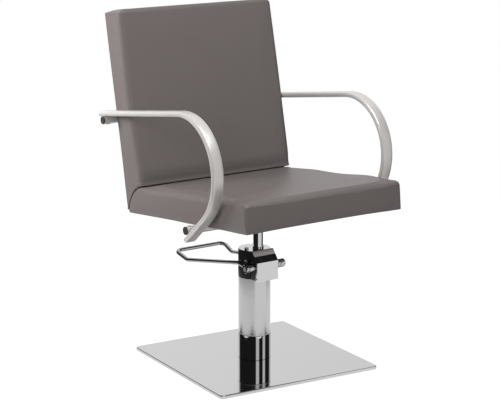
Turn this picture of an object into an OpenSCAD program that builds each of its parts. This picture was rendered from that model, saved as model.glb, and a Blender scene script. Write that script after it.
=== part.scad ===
// Hairdressing chair: a padded seat and back between two flat-oval arm loops,
// on a hydraulic column with a pump pedal and a square polished floor plate.
// Origin on the floor at the column's axis, +Z up, the sitter faces -Y.

/* [Floor plate] */
// Side of the square floor plate
plate_w = 500; // [400:10:600]
// Thickness of the floor plate
plate_t = 9; // [6:0.5:14]
// Radius of the plate's corners, seen from above
plate_corner_r = 12; // [6:1:30]
// Radius of the plate's polished top edge
plate_edge_r = 3; // [1:0.5:5]
// Angle of the plate about the column
plate_turn = -4.7; // [-45:0.1:45]
// Thickness of the rubber pad under the plate
pad_t = 2; // [1:0.5:4]
// Distance from the plate's edge to the pad's edge
pad_margin = 12; // [6:1:30]
// Diameter of the bolts that hold the column to the plate
base_bolt_d = 10; // [8:1:12]
// Diameter of the countersunk heads of those bolts
base_bolt_head_d = 20; // [16:1:22]
// Distance of those bolts from the column's axis
base_bolt_out = 28; // [24:1:30]

/* [Column] */
// Diameter of the polished collar at the foot
collar_d = 91; // [88:1:100]
// Height of the collar
collar_h = 74; // [50:1:100]
// Diameter of the sleeve above the collar
sleeve_d = 90; // [89:1:96]
// Height of the sleeve
sleeve_h = 161; // [150:1:200]
// Wall of the collar and of the sleeve
column_wall = 3; // [2:0.5:3.5]
// Height of the steel foot inside the collar
foot_h = 20; // [16:1:30]
// Bore of the pressure tube
cylinder_bore = 36; // [34:1:38]
// Wall of the pressure tube
cylinder_wall = 4; // [2:0.5:4]

/* [Pump head] */
// Diameter of the cast head
head_d = 91; // [88:1:100]
// Height of the cast head
head_h = 76; // [72:1:90]
// Thickness of the polished disc on the head
cap_t = 4; // [2:0.5:6]
// Width of the cam housing at the front of the head
housing_w = 67; // [66:1:72]
// Distance from the column's axis to the face of the front cover
cover_front = 63; // [62:1:70]
// Height of the cover's upright front
cover_front_h = 53.5; // [50:0.5:60]
// How far the cover hangs below the head
cover_drop = 1.5; // [0:0.5:4]
// Slope of the cover's roof above the horizontal
cover_slope = 50; // [42:1:55]
// How far the roof's ridge stands above the disc
cover_ridge = 1.5; // [0.5:0.5:3]
// Thickness of the cover's sheet
cover_t = 2; // [1:0.5:3]
// Depth of the cover's side flanges
cover_flange = 6.5; // [6:0.5:7]
// Diameter of the gland round the lift rod
gland_d = 32; // [31:0.5:38]
// Height of the gland
gland_h = 7; // [4:1:12]

/* [Pedal] */
// Diameter of the pedal shaft
shaft_d = 14; // [12:0.5:14.5]
// Distance of the shaft in front of the column's axis
shaft_forward = 46; // [45:0.5:46.5]
// Height of the shaft above the foot of the head
shaft_rise = 37; // [34:1:40]
// Diameter of the two hubs on the shaft
hub_d = 24; // [22:1:28]
// Width of each hub
hub_w = 26; // [20:1:30]
// Distance from the middle of the chair to a hub's inner face
hub_inner = 40; // [40:1:44]
// Diameter of the bent pedal rod
pedal_rod_d = 12; // [8:0.5:13]
// Distance of the tread bar behind the shaft
tread_reach = 320; // [260:1:360]
// Height of the tread bar above the floor
tread_h = 271.5; // [255:0.5:285]
// Width of the pedal at the tread bar, between rod centres
tread_w = 167; // [120:1:180]
// Distance of the knees in front of the tread bar
knee_before_tread = 52; // [30:1:60]
// Height of the knees above the floor
knee_h = 255; // [240:1:262]
// Radius of the bends at the tread bar
tread_bend_r = 16; // [10:1:24]

/* [Lift rod] */
// Diameter of the lift rod
rod_d = 27; // [24:1:28]
// Distance of the lift rod in front of the column's axis
rod_forward = 17; // [16:0.5:18]
// Diameter of the spigot that carries the seat
spigot_d = 22; // [18:1:24]
// Length of the spigot
spigot_l = 48; // [30:1:50]
// Height of the piston
piston_h = 24; // [16:1:30]
// Distance from the foot to the piston at rest
piston_rest = 13; // [4:1:20]

/* [Seat] */
// Height from the polished disc to the seat's underside
seat_clear = 111; // [105:1:140]
// Rise of the seat towards its front
seat_tilt = 5.3; // [0:0.1:8]
// Width of the seat and of the back
seat_w = 509; // [450:1:520]
// Reach of the seat in front of the column's axis
seat_front = 325; // [280:1:340]
// Reach of the seat behind the column's axis
seat_rear = 235; // [220:1:260]
// Thickness of the seat at its sides
seat_t = 74; // [60:1:90]
// Radius of the seat's rear upper edge
seat_rear_r = 64; // [40:1:66]
// Radius of the sewn edges of the seat and of the back
edge_r = 11; // [6:1:14]
// Rise of the seat's crown
seat_crown = 6; // [0:0.5:14]
// How far the padded sides draw in between their corners
draw_in = 4; // [0:0.5:8]
// Thickness of the seat's plywood board
board_t = 15; // [10:1:18]
// Distance from the padded sides to the board
board_margin = 16; // [12:1:30]
// Thickness of the black cloth under the seat
cloth_t = 1; // [0.5:0.5:2]
// Width of the steel mount under the seat
mount_w = 160; // [140:5:220]
// Depth of the steel mount under the seat
mount_l = 130; // [115:5:135]
// Thickness of the steel mount
mount_t = 5; // [4:0.5:8]
// Outer diameter of the mount's socket
socket_d = 44; // [38:1:50]
// Length of the socket below the seat's underside
socket_l = 59; // [55:1:64]

/* [Back] */
// Distance of the back's rear face behind the column's axis, at its lower end
back_y = 256.8; // [245:0.1:270]
// Height of that lower end above the foot of the seat's rear edge
back_rise = 1.6; // [0:0.1:5]
// Length of the back along its rear face
back_l = 552; // [450:1:650]
// Thickness of the back
back_t = 78; // [68:1:90]
// Lean of the back from the vertical
back_lean = 10.4; // [6:0.1:14]
// Extra thickness of the back where it meets the seat
back_lumbar = 12; // [4:1:16]
// Rise of the back's crown
back_crown = 5; // [0:0.5:12]
// Thickness of the upholstered rear panel
panel_t = 4; // [3:0.5:6]
// Height of the board and panel above the lower end
panel_start = 52; // [40:1:70]
// Distance from the board and panel to the top of the back
panel_top_margin = 30; // [20:1:60]

/* [Arms] */
// Width of the flat-oval arm tube
arm_w = 36; // [30:1:44]
// Thickness of the flat-oval arm tube
arm_t = 14.5; // [12:0.5:18]
// Gap between an arm and the seat's side
arm_gap = 6.5; // [4:0.5:12]
// Rise of the arm's upper run towards the front
arm_rise = 7.8; // [0:0.1:12]
// Radius of the arm's front bend, at the tube's middle
arm_bend_r = 150; // [120:1:155]
// Angle of the arm's lower tail below the horizontal
tail_angle = 40.5; // [35:0.5:50]
// Length of the straight tail beyond the front cross tube
tail_l = 18; // [14:1:40]
// How far the arm runs on behind the rear cross tube
arm_overhang = 14; // [10:1:50]
// Diameter of the cross tubes
cross_d = 22; // [20:0.5:26]
// Wall of the cross tubes
cross_wall = 2; // [1.5:0.5:3]
// How far a cross tube stops short of the arm's outer face
cross_short = 4; // [0:0.5:8]
// Distance of the front cross tube in front of the column's axis
front_tube_forward = 101; // [95:1:115]
// Height of the rear cross tube above the back's lower end
rear_tube_up = 258; // [230:1:300]

/* [Fits] */
// Radial clearance of each sliding or turning fit
running_gap = 0.05; // [0.02:0.01:0.08]
// Gap between moving pieces that face each other
face_gap = 0.3; // [0.3:0.1:0.5]
// Gap between soft pieces
soft_gap = 0.5; // [0.3:0.1:1]

/* [Hidden] */
$fn = 72;
// Overrun of every cut
over = 1;

// Heights up the column
plate_top = pad_t + plate_t;
collar_top = plate_top + collar_h;
sleeve_top = collar_top + sleeve_h;
head_top = sleeve_top + head_h;
cap_top = head_top + cap_t;
gland_top = cap_top + gland_h;
foot_top = plate_top + foot_h;
seat_z = cap_top + seat_clear;

// Lift rod, piston and seal
socket_bottom = seat_z - socket_l;
washer_t = 2;
rod_shoulder = socket_bottom - washer_t;
piston_bottom = foot_top + piston_rest;
piston_top = piston_bottom + piston_h;
piston_nose_l = 14;
piston_nose_d = 18;
seal_groove = 3;
seal_w = 6;
rod_chamfer = 1.5;

// Bush and wiper round the lift rod
bush_wall = 3;
bush_l = 18;
wiper_wall = 1.2;
rod_room = 0.5;

// Cam, plunger and their pocket in the head
cam_side = 21.5;
pocket_w = 12;
pocket_rear = 20;
pocket_wall = 4;
pocket_above_shaft = 17;
pocket_below_shaft = 25;
cam_w = 10;
cam_hub_d = 21;
cam_arm = 18;
cam_drop = 4;
cam_tip_d = 8;
cam_web_t = 6;
cam_web_w = 7;
plunger_d = 8;
plunger_head_d = 11;
plunger_head_h = 3;
plunger_below = 4.5;
spring_wire_d = 1.2;
spring_turns = 4;
spring_steps = 16;
spring_sides = 6;
shaft_y = -shaft_forward;
shaft_z = sleeve_top + shaft_rise;
plunger_y = shaft_y + cam_arm;
plunger_top = shaft_z - cam_drop - cam_tip_d / 2 - face_gap;
pocket_floor = shaft_z - pocket_below_shaft;

// Bushes, hubs and screws on the pedal shaft
shaft_bush_wall = 2;
shaft_bush_in = 6;
shaft_bush_flange_d = 19;
hub_gap = 0.5;
hub_chamfer = 1.5;
hub_middle = hub_inner + hub_w / 2;
hub_socket_depth = 4;
hub_screw_d = 5;
hub_screw_head_d = 9;
hub_screw_head_h = 3;
hub_flat_depth = 1.5;
bend_steps = 6;
rod_sides = 16;
pedal_shoulder_behind = 46;
pedal_shoulder_rise = 7.5;
pedal_shoulder_out = 1;
pedal_shoulder_r = 30;
pedal_knee_r = 24;
pedal_knee_share = 0.82;

// Front cover: lean of the roof's two lines and where they end
cover_y = -cover_front;
cover_bottom = sleeve_top - cover_drop;
cover_corner = cover_bottom + cover_front_h;
cover_top = cap_top + cover_ridge;
cover_w = housing_w + 2 * cover_t;
function roof_y(z, in) = cover_y + (z - cover_corner) / tan(cover_slope) + in / sin(cover_slope);
cover_screw_d = 3;
cover_screw_head_d = 4.5;
cover_screw_head_h = 2;
cover_screw_l = 6;
cover_screw_up_shares = [0.15, 0.9];
cap_inset = 0.75;

// Plugs screwed into the head
plug_d = 10;
plug_hex_d = 13;
plug_hex_h = 5;
plug_deep = 8;
filler_at_shares = [-0.68, -0.12];
side_plug_turn = 205;
side_plug_up_share = 0.65;
side_plug_seat = 1;

// Seat mount: ribs, screws
rib_t = 5;
rib_reach_share = 0.42;
rib_foot = 12;
mount_corner_r = 12;
mount_screw_d = 8;
mount_screw_head_d = 14;
mount_screw_head_h = 4;
mount_screw_in = 20;
screw_bite = 10;

// Straps between the seat board and the back board
strap_w = 30;
strap_t = 4;
strap_apart = 130;
strap_seat_l = 110;
strap_back_l = 120;
strap_back_top = 165;
strap_bend = 8;
strap_screw_d = 6;
strap_screw_head_d = 11;
strap_screw_head_h = 2.5;
strap_screw_shares = [0.16, 0.56];

// Tube saddles
saddle_w = 22;
saddle_t = 2.5;
saddle_foot = 15;
saddle_apart = 170;
saddle_screw_d = 4;
saddle_screw_head_d = 8;
saddle_screw_head_h = 2;

// Plugs and bolts of the cross tubes
plug_depth = 7;
plug_head_t = 2.5;
arm_bolt_d = 8;
arm_bolt_head_d = 12;
arm_bolt_head_h = 1;
arm_bolt_bite = 9;

// Lines of the arm, in the plane of its side, as [y, z]
arm_x = seat_w / 2 + arm_gap + arm_w / 2;
cross_l = 2 * (arm_x + arm_w / 2 - cross_short);
function on_seat(y, z) = [y * cos(seat_tilt) + z * sin(seat_tilt), seat_z - y * sin(seat_tilt) + z * cos(seat_tilt)];
function on_back(h, d) = [back_y, back_foot_z] + h * back_up + d * back_out;
back_up = [sin(back_lean), cos(back_lean)];
back_out = [-cos(back_lean), sin(back_lean)];
back_foot_z = on_seat(seat_rear, 0)[1] + back_rise;
front_tube = on_seat(-front_tube_forward, -cross_d / 2);
rear_tube = on_back(rear_tube_up, -cross_d / 2);
upper_heading = [-cos(arm_rise), sin(arm_rise)];
tail_heading = [cos(tail_angle), -sin(tail_angle)];
function left_of(d) = [-d[1], d[0]];
arm_off = arm_t / 2 + cross_d / 2;
upper_at = rear_tube - arm_off * left_of(upper_heading);
tail_at = front_tube - arm_off * left_of(tail_heading);
// Middle of the front bend: arm_bend_r to the left of both lines
function meet(a, na, b, nb, r) = let (
    ka = a * na + r, kb = b * nb + r, det = na[0] * nb[1] - na[1] * nb[0])
    [(ka * nb[1] - kb * na[1]) / det, (na[0] * kb - nb[0] * ka) / det];
bend_mid = meet(upper_at, left_of(upper_heading), tail_at, left_of(tail_heading), arm_bend_r);
bend_start = bend_mid - arm_bend_r * left_of(upper_heading);
bend_end = bend_mid - arm_bend_r * left_of(tail_heading);
bend_angle = 180 - tail_angle + arm_rise;
arm_rear_end = upper_at - arm_overhang * upper_heading;
arm_tail_end = tail_at + tail_l * tail_heading;

// Colours
chrome = [0.82, 0.83, 0.84];
steel = [0.7, 0.71, 0.72];
black_cast = [0.06, 0.06, 0.065];
bronze = [0.72, 0.56, 0.32];
rubber = [0.09, 0.09, 0.09];
leather = [0.4, 0.385, 0.38];
arm_paint = [0.78, 0.77, 0.75];
plywood = [0.75, 0.62, 0.45];

// Shared shapes

module tube(od, id, h) {
    difference() {
        cylinder(d = od, h = h);
        translate([0, 0, -over]) cylinder(d = id, h = h + 2 * over);
    }
}

module block(w, l, t) {
    translate([-w / 2, -l / 2, 0]) cube([w, l, t]);
}

module rounded_block(w, l, t, r) {
    block(w - 2 * r, l, t);
    block(w, l - 2 * r, t);
    for (x = [-1, 1], y = [-1, 1])
        translate([x * (w / 2 - r), y * (l / 2 - r), 0]) cylinder(r = r, h = t);
}

// A rod along X, centred
module rod_x(d, l) {
    rotate([0, 90, 0]) cylinder(d = d, h = l, center = true);
}

// A hexagon-headed or round-headed screw whose head stands on z = 0 and whose shank goes up
module screw(d, l, head_d, head_h) {
    translate([0, 0, -head_h]) cylinder(d = head_d, h = head_h);
    cylinder(d = d, h = l);
}

// Puts children, drawn with x as y, y as z and z as x, into the side plane
module side_extrude(w) {
    rotate([90, 0, 90]) translate([0, 0, -w / 2]) linear_extrude(w) children();
}

module at_rod() {
    translate([0, -rod_forward, 0]) children();
}

module at_shaft() {
    translate([0, shaft_y, shaft_z]) children();
}

module seat_frame() {
    translate([0, 0, seat_z]) rotate([-seat_tilt, 0, 0]) children();
}

// Back frame: z up along the rear face, -y out of the front face
module back_frame() {
    translate([0, back_y, back_foot_z]) rotate([-back_lean, 0, 0]) children();
}

// Floor plate and column

module base_plate() {
    color(chrome) rotate(plate_turn) difference() {
        translate([0, 0, pad_t]) union() {
            rounded_block(plate_w, plate_w, plate_t - plate_edge_r, plate_corner_r);
            rounded_block(plate_w - 2 * plate_edge_r, plate_w - 2 * plate_edge_r, plate_t,
                plate_corner_r - plate_edge_r);
            translate([0, 0, plate_t - plate_edge_r]) plate_edges();
        }
        base_bolt_places() base_bolt();
    }
}

// Quarter-round top edges: a rod along each side and a ring at each corner
module plate_edges() {
    side = plate_w / 2 - plate_edge_r;
    run = plate_w - 2 * plate_corner_r;
    for (k = [0 : 3]) rotate(90 * k) {
        translate([0, -side, 0]) rod_x(2 * plate_edge_r, run);
        translate([plate_w / 2 - plate_corner_r, plate_w / 2 - plate_corner_r, 0])
            rotate_extrude(angle = 90) translate([plate_corner_r - plate_edge_r, 0]) circle(r = plate_edge_r);
    }
}

module floor_pad() {
    side = plate_w - 2 * pad_margin;
    color(rubber) rotate(plate_turn) rounded_block(side, side, pad_t, plate_corner_r);
}

module base_bolt_places() {
    for (k = [0 : 3]) rotate(45 + 90 * k) translate([base_bolt_out, 0, pad_t]) children();
}

module base_bolt() {
    cone_h = (base_bolt_head_d - base_bolt_d) / 2;
    cylinder(d1 = base_bolt_head_d, d2 = base_bolt_d, h = cone_h);
    cylinder(d = base_bolt_d, h = plate_t + foot_h - base_bolt_d / 2);
}

module base_bolts() {
    color(steel) rotate(plate_turn) base_bolt_places() base_bolt();
}

module column_foot() {
    color(steel) difference() {
        translate([0, 0, plate_top]) cylinder(d = collar_d - 2 * column_wall, h = foot_h);
        rotate(plate_turn) base_bolt_places() base_bolt();
    }
}

module base_collar() {
    color(chrome) translate([0, 0, plate_top]) tube(collar_d, collar_d - 2 * column_wall, collar_h);
}

module column_sleeve() {
    color(steel) translate([0, 0, collar_top]) tube(sleeve_d, sleeve_d - 2 * column_wall, sleeve_h);
}

module pump_cylinder() {
    color(steel) at_rod() translate([0, 0, foot_top])
        tube(cylinder_bore + 2 * cylinder_wall, cylinder_bore, sleeve_top - foot_top);
}

// Pump head

// Side outline of the cam housing, under the cover's front and roof
module housing_outline() {
    polygon([[0, sleeve_top], [cover_y + cover_t, sleeve_top],
        [cover_y + cover_t, cover_corner - cover_t * tan((90 - cover_slope) / 2)],
        [roof_y(head_top, cover_t), head_top], [0, head_top]]);
}

module pump_head() {
    color(black_cast) difference() {
        union() {
            difference() {
                translate([0, 0, sleeve_top]) cylinder(d = head_d, h = head_h);
                side_extrude(head_d) polygon([[cover_y + cover_t, cover_corner - cover_t * tan((90 - cover_slope) / 2)],
                    [roof_y(head_top + over, cover_t), head_top + over], [cover_y, head_top + over]]);
            }
            side_extrude(housing_w) housing_outline();
        }
        at_rod() translate([0, 0, sleeve_top - over]) cylinder(d = rod_d + 2 * rod_room, h = head_h + 2 * over);
        at_rod() translate([0, 0, head_top - bush_l]) cylinder(d = rod_d + 2 * bush_wall, h = bush_l + over);
        cam_pocket();
        at_shaft() rod_x(shaft_d + 2 * rod_room, housing_w + 2 * over);
        shaft_bush_bodies();
        translate([-cam_side, plunger_y, sleeve_top - over])
            cylinder(d = plunger_d + 2 * running_gap, h = pocket_floor - sleeve_top + 2 * over);
        cover_screw_places() cover_screw_hole();
        filler_place() cylinder(d = plug_d, h = plug_deep + cap_t);
        side_plug_place() side_plug_cut();
    }
}

module cam_pocket() {
    front = cover_y + cover_t + pocket_wall;
    translate([-cam_side - pocket_w / 2, front, pocket_floor])
        cube([pocket_w, -pocket_rear - front, pocket_above_shaft + pocket_below_shaft]);
}

module head_cap() {
    chord = roof_y(cap_top, cover_t) + face_gap;
    color(chrome) difference() {
        translate([0, 0, head_top]) cylinder(d = head_d - 2 * cap_inset, h = cap_t);
        translate([0, chord - head_d / 2, head_top - over]) block(head_d, head_d, cap_t + 2 * over);
        at_rod() translate([0, 0, head_top - over]) cylinder(d = rod_d + 2 * wiper_wall, h = cap_t + 2 * over);
        filler_place() cylinder(d = plug_d, h = plug_deep + cap_t);
    }
}

module rod_gland() {
    rim = rod_d + 2 * wiper_wall;
    color(chrome) at_rod() translate([0, 0, cap_top]) difference() {
        union() {
            cylinder(d = gland_d, h = gland_h / 2);
            translate([0, 0, gland_h / 2]) cylinder(d1 = gland_d, d2 = (gland_d + rim) / 2, h = gland_h / 2);
        }
        translate([0, 0, -over]) cylinder(d = rim, h = gland_h + 2 * over);
    }
}

module wiper_seal() {
    color(rubber) at_rod() translate([0, 0, head_top])
        tube(rod_d + 2 * wiper_wall, rod_d + 2 * running_gap, gland_top - head_top);
}

module rod_bush() {
    color(bronze) at_rod() translate([0, 0, head_top - bush_l])
        tube(rod_d + 2 * bush_wall, rod_d + 2 * running_gap, bush_l);
}

// Bent sheet: upright front, sloping roof and two side flanges
module head_cover() {
    inner_corner = cover_corner - cover_t * tan((90 - cover_slope) / 2);
    lip = [cover_t * sin(cover_slope), -cover_t * cos(cover_slope)];
    ridge = [roof_y(cover_top, 0), cover_top];
    color(chrome) difference() {
        union() {
            side_extrude(cover_w) polygon([[cover_y, cover_bottom], [cover_y, cover_corner], ridge, ridge + lip,
                [cover_y + cover_t, inner_corner], [cover_y + cover_t, cover_bottom]]);
            for (side = [-1, 1])
                translate([side * (cover_w - cover_t) / 2, cover_y + cover_flange / 2, cover_bottom])
                    block(cover_t, cover_flange, cover_front_h - cover_t);
        }
        cover_screw_places() cover_screw_hole();
    }
}

// Two screws a side, through the flanges into the housing
module cover_screw_places() {
    for (side = [-1, 1], up = cover_screw_up_shares)
        translate([side * cover_w / 2, cover_y + cover_t + (cover_flange - cover_t) / 2,
            cover_bottom + up * cover_front_h]) rotate([0, -90 * side, 0]) children();
}

module cover_screw_hole() {
    translate([0, 0, -over]) cylinder(d = cover_screw_d, h = cover_screw_l + over);
}

module cover_screws() {
    color(steel) cover_screw_places()
        screw(cover_screw_d, cover_screw_l, cover_screw_head_d, cover_screw_head_h);
}

module filler_place() {
    translate([filler_at_shares[0] * head_d / 2, filler_at_shares[1] * head_d / 2, head_top - plug_deep])
        children();
}

module filler_plug() {
    color(steel) filler_place() {
        cylinder(d = plug_d, h = plug_deep + cap_t);
        translate([0, 0, plug_deep + cap_t]) cylinder(d = plug_hex_d, h = plug_hex_h, $fn = 6);
    }
}

// On the side of the head, pointing in
module side_plug_place() {
    rotate(side_plug_turn) translate([head_d / 2 - side_plug_seat, 0, sleeve_top + side_plug_up_share * head_h])
        rotate([0, -90, 0]) children();
}

module side_plug_cut() {
    cylinder(d = plug_d, h = plug_deep);
    translate([0, 0, -plug_deep]) cylinder(d = plug_hex_d + 2 * side_plug_seat, h = plug_deep);
}

module side_plug() {
    color(steel) side_plug_place() {
        cylinder(d = plug_d, h = plug_deep);
        translate([0, 0, -plug_hex_h]) cylinder(d = plug_hex_d, h = plug_hex_h, $fn = 6);
    }
}

// Pedal and pump

module shaft_bush_bodies() {
    for (side = [-1, 1]) at_shaft() translate([side * (housing_w - shaft_bush_in) / 2, 0, 0])
        rod_x(shaft_d + 2 * shaft_bush_wall, shaft_bush_in);
}

module shaft_bushes() {
    flange_w = hub_inner - hub_gap - housing_w / 2;
    color(steel) difference() {
        union() {
            shaft_bush_bodies();
            for (side = [-1, 1]) at_shaft() translate([side * (housing_w + flange_w) / 2, 0, 0])
                rod_x(shaft_bush_flange_d, flange_w);
        }
        at_shaft() rod_x(shaft_d + 2 * running_gap, 2 * hub_inner);
    }
}

module pedal_shaft() {
    color(steel) at_shaft() rod_x(shaft_d, 2 * (hub_inner + hub_w));
}

// Finger on the shaft, with a round tip over the plunger
module pedal_cam() {
    reach = norm([cam_arm, cam_drop]);
    color(steel) at_shaft() translate([-cam_side, 0, 0]) difference() {
        union() {
            rod_x(cam_hub_d, cam_w);
            translate([0, cam_arm, -cam_drop]) rod_x(cam_tip_d, cam_w);
            rotate([-atan2(cam_drop, cam_arm), 0, 0])
                translate([-cam_web_w / 2, 0, -cam_web_t / 2]) cube([cam_web_w, reach, cam_web_t]);
        }
        rod_x(shaft_d, cam_w + 2 * over);
    }
}

// Bent rod: one skin along straight runs and rounded bends, with a bend radius at each inner point
function unit(v) = v / norm(v);
function bend_of(pts, i) = acos(unit(pts[i] - pts[i - 1]) * unit(pts[i + 1] - pts[i]));
// Middles and headings of the rings round the bend at point i
function bend_rings(pts, radii, i) = let (
    u = unit(pts[i] - pts[i - 1]),
    c = cross(unit(cross(u, pts[i + 1] - pts[i])), u),
    mid = pts[i] - u * radii[i] * tan(bend_of(pts, i) / 2) + c * radii[i])
    [for (k = [0 : bend_steps]) let (a = bend_of(pts, i) * k / bend_steps)
        [mid + radii[i] * (sin(a) * u - cos(a) * c), cos(a) * u + sin(a) * c]];

module bent_rod(pts, radii, d) {
    last = len(pts) - 1;
    rings = concat([[pts[0], unit(pts[1] - pts[0])]],
        [for (i = [1 : last - 1]) each bend_rings(pts, radii, i)],
        [[pts[last], unit(pts[last] - pts[last - 1])]]);
    skin([for (ring = rings) let (side = unit(cross(ring[1], [0, 0, 1])), top = cross(side, ring[1]))
        [for (j = [0 : rod_sides - 1]) let (b = 360 * j / rod_sides) ring[0] + d / 2 * (cos(b) * side + sin(b) * top)]]);
}

tread_y = shaft_y + tread_reach;
pedal_shoulder = [hub_middle + pedal_shoulder_out, shaft_y + pedal_shoulder_behind, shaft_z + pedal_shoulder_rise];
pedal_knee = [hub_middle + pedal_knee_share * (tread_w / 2 - hub_middle), tread_y - knee_before_tread, knee_h];
pedal_corner = [tread_w / 2, tread_y, tread_h];
pedal_hub_end = let (mid = [hub_middle, shaft_y, shaft_z])
    mid + (hub_d / 2 - hub_socket_depth) * unit(pedal_shoulder - mid);
function to_left(p) = [-p[0], p[1], p[2]];
pedal_path = [to_left(pedal_hub_end), to_left(pedal_shoulder), to_left(pedal_knee), to_left(pedal_corner),
    pedal_corner, pedal_knee, pedal_shoulder, pedal_hub_end];
pedal_radii = [0, pedal_shoulder_r, pedal_knee_r, tread_bend_r, tread_bend_r, pedal_knee_r, pedal_shoulder_r, 0];

module pedal_loop() {
    color(chrome) bent_rod(pedal_path, pedal_radii, pedal_rod_d);
}

// Hub on the shaft, with a socket for the rod's end and a flat for its clamp screw
module pedal_hub(side) {
    into = side * pedal_hub_end[0];
    u = unit([side * (pedal_shoulder[0] - pedal_hub_end[0]), pedal_shoulder[1] - pedal_hub_end[1],
        pedal_shoulder[2] - pedal_hub_end[2]]);
    difference() {
        at_shaft() translate([side * hub_middle, 0, 0]) {
            rod_x(hub_d, hub_w - 2 * hub_chamfer);
            for (end = [-1, 1]) translate([end * (hub_w / 2 - hub_chamfer), 0, 0]) rotate([0, 90 * end, 0])
                cylinder(d1 = hub_d, d2 = hub_d - 2 * hub_chamfer, h = hub_chamfer);
        }
        at_shaft() rod_x(shaft_d, 2 * (hub_inner + hub_w + over));
        translate([into, pedal_hub_end[1], pedal_hub_end[2]])
            rotate([0, acos(u[2]), atan2(u[1], u[0])]) cylinder(d = pedal_rod_d, h = hub_d);
        hub_screw_place(side) hub_screw_cut();
    }
}

module hub_screw_place(side) {
    at_shaft() translate([side * hub_middle, -hub_d / 2 + hub_flat_depth, 0]) rotate([-90, 0, 0]) children();
}

module hub_screw_cut() {
    cylinder(d = hub_screw_d, h = hub_d / 2);
    translate([0, 0, -hub_d]) cylinder(d = hub_screw_head_d + 2 * hub_gap, h = hub_d);
}

module pedal_hub_left() {
    color(chrome) pedal_hub(-1);
}

module pedal_hub_right() {
    color(chrome) pedal_hub(1);
}

module hub_screws() {
    color(steel) for (side = [-1, 1]) hub_screw_place(side)
        screw(hub_screw_d, (hub_d - shaft_d) / 2 - hub_flat_depth, hub_screw_head_d, hub_screw_head_h);
}

module pump_plunger() {
    color(steel) translate([-cam_side, plunger_y, 0]) {
        translate([0, 0, pocket_floor - plunger_below])
            cylinder(d = plunger_d, h = plunger_top - pocket_floor + plunger_below);
        translate([0, 0, plunger_top - plunger_head_h]) cylinder(d = plunger_head_d, h = plunger_head_h);
    }
}

// One unbroken coil from the pocket's floor to the plunger's head
module plunger_spring() {
    r = (plunger_head_d - spring_wire_d) / 2;
    low = pocket_floor + spring_wire_d / 2;
    high = plunger_top - plunger_head_h - spring_wire_d / 2;
    rings = spring_turns * spring_steps;
    ring = [for (k = [0 : rings]) [for (j = [0 : spring_sides - 1]) let (
        a = 360 * k / spring_steps, b = 360 * j / spring_sides, out = r + spring_wire_d / 2 * cos(b))
        [out * cos(a), out * sin(a), low + (high - low) * k / rings + spring_wire_d / 2 * sin(b)]]];
    color(steel) translate([-cam_side, plunger_y, 0]) skin(ring);
}

// Lift rod and swivel

module lift_rod() {
    color(chrome) at_rod() {
        translate([0, 0, piston_top]) cylinder(d = rod_d, h = rod_shoulder - piston_top);
        translate([0, 0, rod_shoulder]) cylinder(d = spigot_d, h = spigot_l - rod_chamfer);
        translate([0, 0, rod_shoulder + spigot_l - rod_chamfer])
            cylinder(d1 = spigot_d, d2 = spigot_d - 2 * rod_chamfer, h = rod_chamfer);
        translate([0, 0, piston_bottom]) cylinder(d = piston_nose_d, h = piston_h);
    }
}

module piston() {
    od = cylinder_bore - 2 * running_gap;
    color(bronze) at_rod() translate([0, 0, piston_bottom]) difference() {
        cylinder(d = od, h = piston_h);
        translate([0, 0, -over]) cylinder(d = piston_nose_d, h = piston_h + 2 * over);
        translate([0, 0, (piston_h - seal_w) / 2]) tube(od + over, od - 2 * seal_groove, seal_w);
    }
}

module piston_seal() {
    od = cylinder_bore - 2 * running_gap;
    color(rubber) at_rod() translate([0, 0, piston_bottom + (piston_h - seal_w) / 2])
        tube(od, od - 2 * seal_groove, seal_w);
}

module swivel_washer() {
    color(bronze) at_rod() translate([0, 0, rod_shoulder]) tube(rod_d, spigot_d, washer_t);
}

// Seat

module seat_mount() {
    color(black_cast) difference() {
        union() {
            mount_plate();
            intersection() {
                at_rod() translate([0, 0, socket_bottom]) {
                    cylinder(d = socket_d, h = socket_l);
                    mount_ribs();
                }
                seat_frame() translate([0, 0, -mount_t - socket_l]) block(seat_w, seat_w, socket_l + mount_t / 2);
            }
        }
        at_rod() translate([0, 0, socket_bottom - over])
            cylinder(d = spigot_d + 2 * running_gap, h = spigot_l - washer_t + 2 * over);
        mount_screw_places() cylinder(d = mount_screw_d, h = 2 * mount_t, center = true);
    }
}

module mount_plate() {
    seat_frame() translate([0, -rod_forward, -mount_t]) rounded_block(mount_w, mount_l, mount_t, mount_corner_r);
}

// Four upright gussets from the socket to the plate
module mount_ribs() {
    reach = rib_reach_share * mount_w;
    for (k = [0 : 3]) rotate(90 * k) rotate([90, 0, 0]) translate([0, 0, -rib_t / 2]) linear_extrude(rib_t)
        polygon([[0, rib_foot], [socket_d / 2, rib_foot], [reach, socket_l - 2 * mount_t],
            [reach, socket_l + mount_t], [0, socket_l + mount_t]]);
}

// Screw heads under the steel plate
module mount_screw_places() {
    for (x = [-1, 1], y = [-1, 1])
        seat_frame() translate([x * (mount_w / 2 - mount_screw_in), y * (mount_l / 2 - mount_screw_in) - rod_forward,
            -mount_t]) children();
}

module mount_screws() {
    color(steel) mount_screw_places() screw(mount_screw_d, mount_t + cloth_t + screw_bite, mount_screw_head_d,
        mount_screw_head_h);
}

// Every screw that enters the seat board from below
module seat_screw_shanks() {
    mount_screw_places() cylinder(d = mount_screw_d, h = mount_t + cloth_t + screw_bite);
    front_saddle_screw_places() cylinder(d = saddle_screw_d, h = saddle_t + cloth_t + screw_bite);
    strap_seat_screw_places() cylinder(d = strap_screw_d, h = strap_t + cloth_t + screw_bite);
}

board_front = seat_front - board_margin;
board_rear = seat_rear - board_margin;
board_w = seat_w - 2 * board_margin;

module seat_board() {
    color(plywood) difference() {
        seat_frame() translate([0, (board_rear - board_front) / 2, cloth_t])
            block(board_w, board_rear + board_front, board_t);
        seat_screw_shanks();
    }
}

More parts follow.
